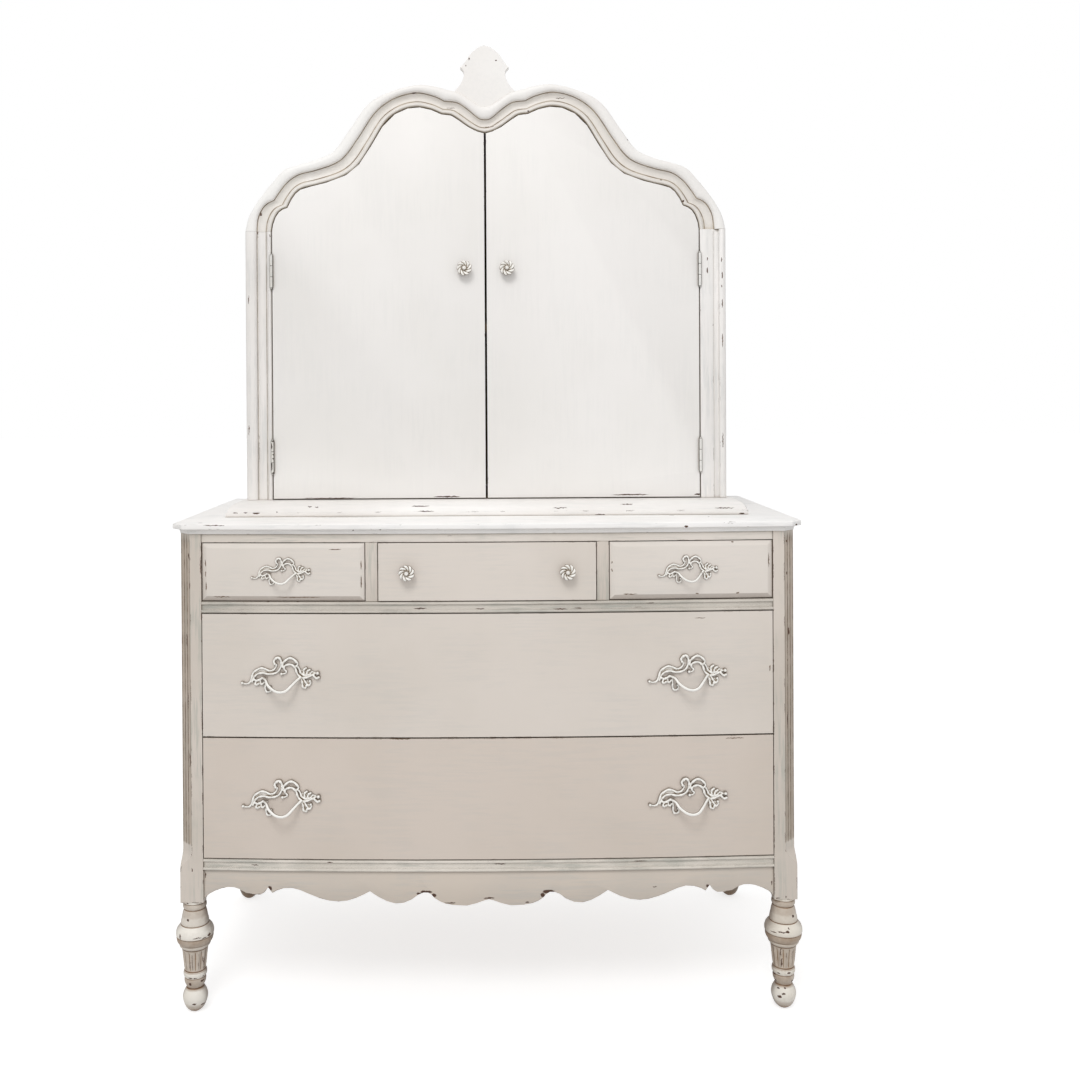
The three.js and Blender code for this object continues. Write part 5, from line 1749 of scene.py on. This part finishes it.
@dataclass
class ArchFrame:
    """The moulded frame round the doors: crest rail, left stile and finial."""

    jamb: float = 49.5 * MM
    band: float = 21.5 * MM
    arch_band: float = 14.3 * MM
    arch_frame: float = 40.9 * MM
    finial_half: float = 57.5 * MM
    finial_lap: float = 1.5 * MM
    finial_foot: float = 0.6 * MM
    finial_steps: int = 14
    finial_ease: float = 1.2 * MM
    finial_segments: int = 3
    finial_crisp: float = 50.0
    steps: Sequence[int] = (20, 72, 22)
    section_steps: int = 12
    inner: Knots = (
        ((0, 0.789), (0.033, 0.802), (0.075, 0.838), (0.117, 0.89), (0.155, 0.932), (0.2, 0.942)),
        ((0.2, 0.942), (0.257, 0.983), (0.321, 1), (0.392, 0.971), (0.463, 0.884), (0.527, 0.709),
         (0.591, 0.541), (0.663, 0.446), (0.769, 0.385), (0.845, 0.355), (0.88, 0.322),
         (0.907, 0.262), (0.926, 0.196)),
        ((0.926, 0.196), (0.952, 0.178), (0.975, 0.14), (0.993, 0.07), (1, 0)),
    )
    crease: Knots = (
        ((0, 0.803), (0.026, 0.812), (0.07, 0.872), (0.097, 0.905), (0.126, 0.93), (0.177, 0.939)),
        ((0.177, 0.939), (0.225, 0.976), (0.302, 1), (0.397, 0.959), (0.479, 0.859), (0.552, 0.682),
         (0.608, 0.554), (0.658, 0.491), (0.745, 0.442), (0.815, 0.413), (0.865, 0.357),
         (0.9, 0.286), (0.924, 0.227)),
        ((0.924, 0.227), (0.956, 0.201), (0.979, 0.156), (0.995, 0.089), (1, 0)),
    )
    outer: Knots = (
        ((0, 0.849), (0.024, 0.857), (0.056, 0.89), (0.09, 0.928), (0.12, 0.952), (0.159, 0.966)),
        ((0.159, 0.966), (0.206, 0.988), (0.282, 1), (0.389, 0.956), (0.484, 0.872), (0.563, 0.695),
         (0.615, 0.575), (0.65, 0.527), (0.716, 0.484), (0.787, 0.452), (0.841, 0.416),
         (0.887, 0.334), (0.916, 0.277)),
        ((0.916, 0.277), (0.944, 0.215), (0.967, 0.155), (0.987, 0.088), (1, 0)),
    )
    section: Knots = (
        ((0, 1), (0, 0.3)), ((0, 0.3), (0.06, 0.21), (0.13, 0.19), (0.2, 0.22), (0.26, 0.33)),
        ((0.26, 0.33), (0.36, 0.46), (0.58, 0.56), (0.8, 0.5), (0.93, 0.37)),
        ((0.93, 0.37), (1, 0.38)),
        ((1, 0.38), (1.04, 0.2), (1.2, 0.06), (1.55, 0), (1.87, 0.08), (2, 0.26)),
        ((2, 0.26), (2, 1)),
    )
    dark_lines: Point2 = (0.355, 1.0)
    # How dark the painted shade in the cove is, on the crest and on the stile
    crest_hollow_shade: float = 0.1
    stile_hollow_shade: float = 0.0
    finial: Knots = (
        ((1, 0), (0.94, 0.05), (0.81, 0.15), (0.72, 0.27), (0.69, 0.38), (0.73, 0.46),
         (0.82, 0.52)),
        ((0.82, 0.52), (0.71, 0.59), (0.62, 0.67)),
        ((0.62, 0.67), (0.52, 0.77), (0.41, 0.85), (0.22, 0.95), (0, 1)),
    )

    def _lines(self) -> tuple[list[Vector], list[Vector], list[Vector]]:
        """Returns the inner, crease and outer line of the right half, in metres.

        Returns:
            The three lines, from the middle outward.
        """
        low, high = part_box("crest_rail")
        half, rise = high.x, high.z - low.z
        sizes = ((self.inner, half - self.jamb, rise - self.arch_frame),
                 (self.crease, half - self.band, rise - self.arch_band), (self.outer, half, rise))
        return tuple([Vector((p.x * across, 0.0, low.z + p.y * up))
                      for p in through_knots(shares, self.steps)] for shares, across, up in sizes)

    def _ring(self, inner: Vector, crease: Vector, outer: Vector) -> Ring:
        """Returns the moulding's section between three points of its lines.

        Args:
            inner: The point at the opening.
            crease: The point at the crease.
            outer: The point at the outer edge.

        Returns:
            The section's points.
        """
        low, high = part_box("crest_rail")
        ring = []
        for point in through_knots(self.section, self.section_steps):
            flat = inner.lerp(crease, point.x) if point.x <= 1 else crease.lerp(outer, point.x - 1)
            ring.append(Vector((flat.x, low.y + point.y * (high.y - low.y), flat.z)))
        return ring

    def _draw(self, piece: bpy.types.Object, rings: int, stain: float) -> None:
        """Draws the crease and the crack of the cove along a moulding and paints shade into its
        hollow.

        Args:
            piece: The moulding.
            rings: How many sections it has.
            stain: How dark the hollow is.
        """
        across = [point.x for point in through_knots(self.section, self.section_steps)]
        nearest = {min(range(len(across)), key=lambda index: abs(across[index] - place))
                   for place in self.dark_lines}
        row = [1.0 if index in nearest else stain * (place < self.dark_lines[1])
               for index, place in enumerate(across)]
        draw_lines(piece, row * rings)

    @staticmethod
    def _both(line: list[Vector]) -> list[Vector]:
        """Returns a line of the right half with its mirror image before it."""
        return [Vector((-p.x, p.y, p.z)) for p in line[:0:-1]] + line

    def _finial_rings(self, outer: list[Vector]) -> list[Ring]:
        """Returns the two faces of the finial, whose foot follows the outer line.

        Args:
            outer: The outer line of the right half.

        Returns:
            The two faces.
        """
        low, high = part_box("finial")
        foot = [p for p in outer if p.x < self.finial_half]
        ahead, last = outer[len(foot)], foot[-1]
        foot.append(last.lerp(ahead, (self.finial_half - last.x) / (ahead.x - last.x)))
        base = foot[-1].z + self.finial_foot
        side = [Vector((p.x * self.finial_half, 0.0, base + p.y * (high.z - base)))
                for p in through_knots(self.finial, self.finial_steps)]
        right = [p - Vector((0.0, 0.0, self.finial_lap)) for p in foot] + side
        outline = right + [Vector((-p.x, p.y, p.z)) for p in right[-2:0:-1]]
        return [[Vector((p.x, y, p.z)) for p in outline] for y in (low.y, high.y)]

    def build(self, dresser: Dresser) -> None:
        """Builds the crest rail, the left stile and the finial.

        Args:
            dresser: Takes the finished pieces.
        """
        lines = self._lines()
        rings = [self._ring(*points) for points in zip(*map(self._both, lines))]
        crest = loft("arched_crest", rings)
        self._draw(crest, len(rings), self.crest_hollow_shade)
        dresser.place(crest, "case", ARCH, "crest_rail")
        low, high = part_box("stile_left")
        ends = [[Vector((-line[-1].x, 0.0, z)) for line in lines] for z in (low.z, high.z)]
        stile = loft("moulded_stile", [self._ring(*points) for points in ends])
        self._draw(stile, len(ends), self.stile_hollow_shade)
        dresser.place(stile, "case", HUTCH, "stile_left")
        finial = loft("sawn_finial", self._finial_rings(lines[2]))
        ease_edges(finial, self.finial_ease, self.finial_segments, self.finial_crisp)
        dresser.place(finial, "case", ARCH, "finial")


@dataclass
class ButtHinge:
    """A butt hinge: each leaf with its own knuckles, and a pin with a button at each end."""

    door: str
    height: str
    length: float = 63.5 * MM
    barrel: float = 3.2 * MM
    pin: float = 1.5 * MM
    running: float = 0.3 * MM
    leaf: float = 1.4 * MM
    sunk: float = 1.0 * MM
    depth: float = 16 * MM
    gap: float = 2.2 * MM
    knuckles: int = 3
    sides: int = 28
    ease: float = 0.45 * MM
    button: float = 2.5 * MM
    button_rise: float = 2.2 * MM
    button_steps: int = 5
    button_tip: float = 0.1 * MM
    crisp: float = 40.0

    def _lathe(self, name: str, profile: Sequence[Point2]) -> bpy.types.Object:
        """Returns a turned solid on the hinge's own axis from radius and height pairs.

        Args:
            name: The solid's name.
            profile: The radius and height pairs.

        Returns:
            The solid.
        """
        rings = [[Vector((radius * math.cos(a), radius * math.sin(a), height))
                  for a in turns(self.sides)] for radius, height in profile]
        return loft(name, rings, self.crisp)

    def _span(self, index: int) -> Point2:
        """Returns the two ends of one knuckle's length, with its share of the running gap.

        Args:
            index: The knuckle's number from below.

        Returns:
            The lower and the upper end.
        """
        each = self.length / self.knuckles
        low = index * each - self.length / 2 + self.running / 2
        return low, low + each - self.running

    def _knuckle(self, index: int) -> bpy.types.Object:
        """Returns one knuckle with its ends eased.

        Args:
            index: The knuckle's number from below.

        Returns:
            The knuckle.
        """
        low, high = self._span(index)
        inner = self.barrel - self.ease
        return self._lathe("knuckle", ((inner, low), (self.barrel, low + self.ease),
                                       (self.barrel, high - self.ease), (inner, high)))

    def _plate(self, side: int, y0: float, y1: float, z0: float, z1: float) -> bpy.types.Object:
        """Returns a flat stretch of a leaf on one side of the axis.

        Args:
            side: Which side, -1 or 1.
            y0: Its front.
            y1: Its back.
            z0: Its foot.
            z1: Its top.

        Returns:
            The plate.
        """
        inner = self.gap / 2 + self.sunk - self.leaf
        x0, x1 = sorted((side * inner, side * (inner + self.leaf)))
        ring = ((x0, y0), (x1, y0), (x1, y1), (x0, y1))
        return loft("plate", [[Vector((x, y, z)) for x, y in ring] for z in (z0, z1)])

    def _leaf(self, side: int, first: int) -> list[bpy.types.Object]:
        """Returns a leaf with every second knuckle from the first one given.

        Args:
            side: Which side of the axis, -1 or 1.
            first: The first knuckle's number.

        Returns:
            The leaf's solids.
        """
        start, half = self.barrel + self.running, self.length / 2
        parts = [self._plate(side, start, self.barrel + self.depth, -half, half)]
        for index in range(first, self.knuckles, 2):
            parts.append(self._knuckle(index))
            parts.append(self._plate(side, 0.0, start + self.running, *self._span(index)))
        return parts

    def _buttons(self) -> list[bpy.types.Object]:
        """Returns the two round ends of the pin.

        Returns:
            The two solids.
        """
        tips = []
        for end in (-1, 1):
            foot = end * self.length / 2
            profile = [(self.pin, foot), (self.button, foot + end * self.ease)]
            for step in range(1, self.button_steps + 1):
                turn = math.pi / 2 * step / self.button_steps
                profile.append((max(self.button * math.cos(turn), self.button_tip),
                                foot + end * (self.ease + self.button_rise * math.sin(turn))))
            tips.append(self._lathe("button", profile))
        return tips

    def build(self, dresser: Dresser) -> None:
        """Builds both leaves at the place of their nodes.

        Args:
            dresser: Takes the finished pieces.
        """
        side = -1 if self.door == "left" else 1
        stem = f"hinge_{self.door}_{self.height}"
        low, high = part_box(f"{stem}_frame_leaf")
        joint = next(joint for joint in frame["record"]["behaviour"]["joints"]
                     if joint["name"] == f"{self.door}_door_hinge")
        x, y = joint["pos_m"][:2]
        place = Matrix.Translation((x, y, (low.z + high.z) / 2))
        fixed = join_parts(f"{stem}_fixed_leaf", self._leaf(side, 0) + self._buttons())
        moving = join_parts(f"{stem}_moving_leaf", self._leaf(-side, 1))
        for piece, body, node in ((fixed, "case", f"{stem}_frame_leaf"),
                                  (moving, f"{self.door}_door", f"{stem}_door_leaf")):
            piece.data.transform(place)
            dresser.place(piece, body, HINGE, node)


@dataclass
class Cupboard:
    """The hutch behind its frame: carcass, doors, hinges and knobs."""

    painted: Sequence[str] = ("hutch_side_left", "hutch_side_right", "hutch_roof",
                              "stile_right", "hinge_strip")
    inside: Sequence[str] = ("hutch_floor", "hutch_back", "hutch_shelf")

    def build(self, dresser: Dresser) -> None:
        """Finishes the carcass, the doors and the hinges.

        Args:
            dresser: Takes the finished pieces.
        """
        dresser.node("hutch_plinth", PLINTH, FINE_EASE)
        for name in self.painted:
            dresser.node(name, HUTCH, FINE_EASE)
        for name in self.inside:
            dresser.node(name, BARE)
        for name in ("left", "right"):
            dresser.node(f"door_{name}", DOOR)
            RosetteKnob(f"knob_door_{name}", f"{name}_door").build(dresser)
            for height in ("lower", "upper"):
                ButtHinge(name, height).build(dresser)


# Studio


@dataclass(frozen=True)
class Lamp:
    """A square softbox: its place, the point it aims at, its width and its watts."""

    name: str
    place: Point3
    aim: Point3
    size: float
    power: float


@dataclass
class Studio:
    """A white floor, soft light and a camera at the photograph's angle."""

    place: Point3 = (3.4 * MM, -2238.8 * MM, 1114.7 * MM)
    pitch: float = 0.35
    yaw: float = -0.02
    roll: float = 0.323
    picture: float = 1080.0
    focal: float = 1105.4
    shift: Point2 = (0.0477, -0.1242)
    sensor: float = 36.0
    floor_half: float = 30.0
    floor_grey: float = 0.6
    floor_glow: float = 0.68
    floor_roughness: float = 0.9
    sky: float = 0.63
    lamps: Sequence[Lamp] = (
        Lamp("key_softbox", (-0.7, -3.0, 4.0), (0.0, 0.0, 1.0), 1.5, 64.0),
        Lamp("fill_softbox", (0.4, -3.2, 1.4), (0.0, 0.0, 0.9), 2.2, 10.0),
    )

    def _camera(self) -> None:
        """Places the camera where the photograph was taken from."""
        lens = bpy.data.cameras.new("camera")
        lens.sensor_width = self.sensor
        lens.lens = self.focal / self.picture * self.sensor
        lens.shift_x, lens.shift_y = self.shift
        viewer = new_object("camera", lens)
        turn = Matrix.Rotation(math.radians(self.yaw), 4, "Z")
        tilt = Matrix.Rotation(math.radians(90 - self.pitch), 4, "X")
        lean = Matrix.Rotation(math.radians(-self.roll), 4, "Z")
        viewer.matrix_world = Matrix.Translation(self.place) @ turn @ tilt @ lean
        bpy.context.scene.camera = viewer

    @staticmethod
    def _seen(nodes: Nodes) -> Socket:
        """Returns 1 for rays that see a surface directly, in a mirror or through glass.

        Args:
            nodes: The nodes of the floor or the world.

        Returns:
            1 or 0.
        """
        rays = nodes.add("LightPath").outputs
        straight = nodes.math("MAXIMUM", rays["Is Camera Ray"], rays["Is Glossy Ray"])
        return nodes.math("MAXIMUM", straight, rays["Is Transmission Ray"])

    def _floor(self) -> None:
        """Lays the white floor, which keeps the object's shadow."""
        corners = [Vector((x * self.floor_half, y * self.floor_half, 0.0))
                   for x, y in ((-1, -1), (1, -1), (1, 1), (-1, 1))]
        floor = solid_piece("studio_floor", corners, [(0, 1, 2, 3)])
        made, nodes, shader = new_material("floor_white", self.floor_roughness)
        glow = nodes.math("MULTIPLY", self._seen(nodes), self.floor_glow)
        nodes.feed(shader, {"Base Color": (self.floor_grey,) * 3 + (1,), "Specular IOR Level": 0.0,
                            "Emission Color": (1, 1, 1, 1), "Emission Strength": glow})
        floor.data.materials.append(made)
        floor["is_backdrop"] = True

    def _world(self) -> None:
        """Sets a plain white world that lights softly and shows as white."""
        world = bpy.data.worlds.new("studio_world")
        world.use_nodes = True
        nodes = Nodes(world.node_tree)
        shown = nodes.math("MULTIPLY", self._seen(nodes), 1 - self.sky)
        nodes.feed(world.node_tree.nodes["Background"],
                   {"Color": (1, 1, 1, 1), "Strength": nodes.math("ADD", self.sky, shown)})
        bpy.context.scene.world = world

    @staticmethod
    def _hang(lamp: Lamp) -> None:
        """Hangs one soft lamp.

        Args:
            lamp: The lamp.
        """
        light = bpy.data.lights.new(lamp.name, "AREA")
        light.size = lamp.size
        light.energy = lamp.power
        made = new_object(lamp.name, light)
        made.location = lamp.place
        aim = Vector(lamp.aim) - Vector(lamp.place)
        made.rotation_euler = aim.to_track_quat("-Z", "Y").to_euler()

    def build(self) -> None:
        """Builds the whole studio."""
        self._camera()
        self._floor()
        self._world()
        for lamp in self.lamps:
            self._hang(lamp)
        bpy.context.scene.view_settings.view_transform = "Standard"


def corners() -> list[list[float]]:
    """Returns the object's lowest and highest corner as plain lists."""
    return [[float(value) for value in corner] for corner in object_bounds()]


def main() -> None:
    """Builds the studio and the dresser."""
    logging.basicConfig(level=logging.INFO, format="%(name)s %(message)s")
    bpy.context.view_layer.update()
    Studio().build()
    dresser = Dresser(Paintshop())
    for assembly in (LowerCase(), DrawerStack(), ArchFrame(), Cupboard()):
        assembly.build(dresser)


if __name__ == "__main__":
    main()
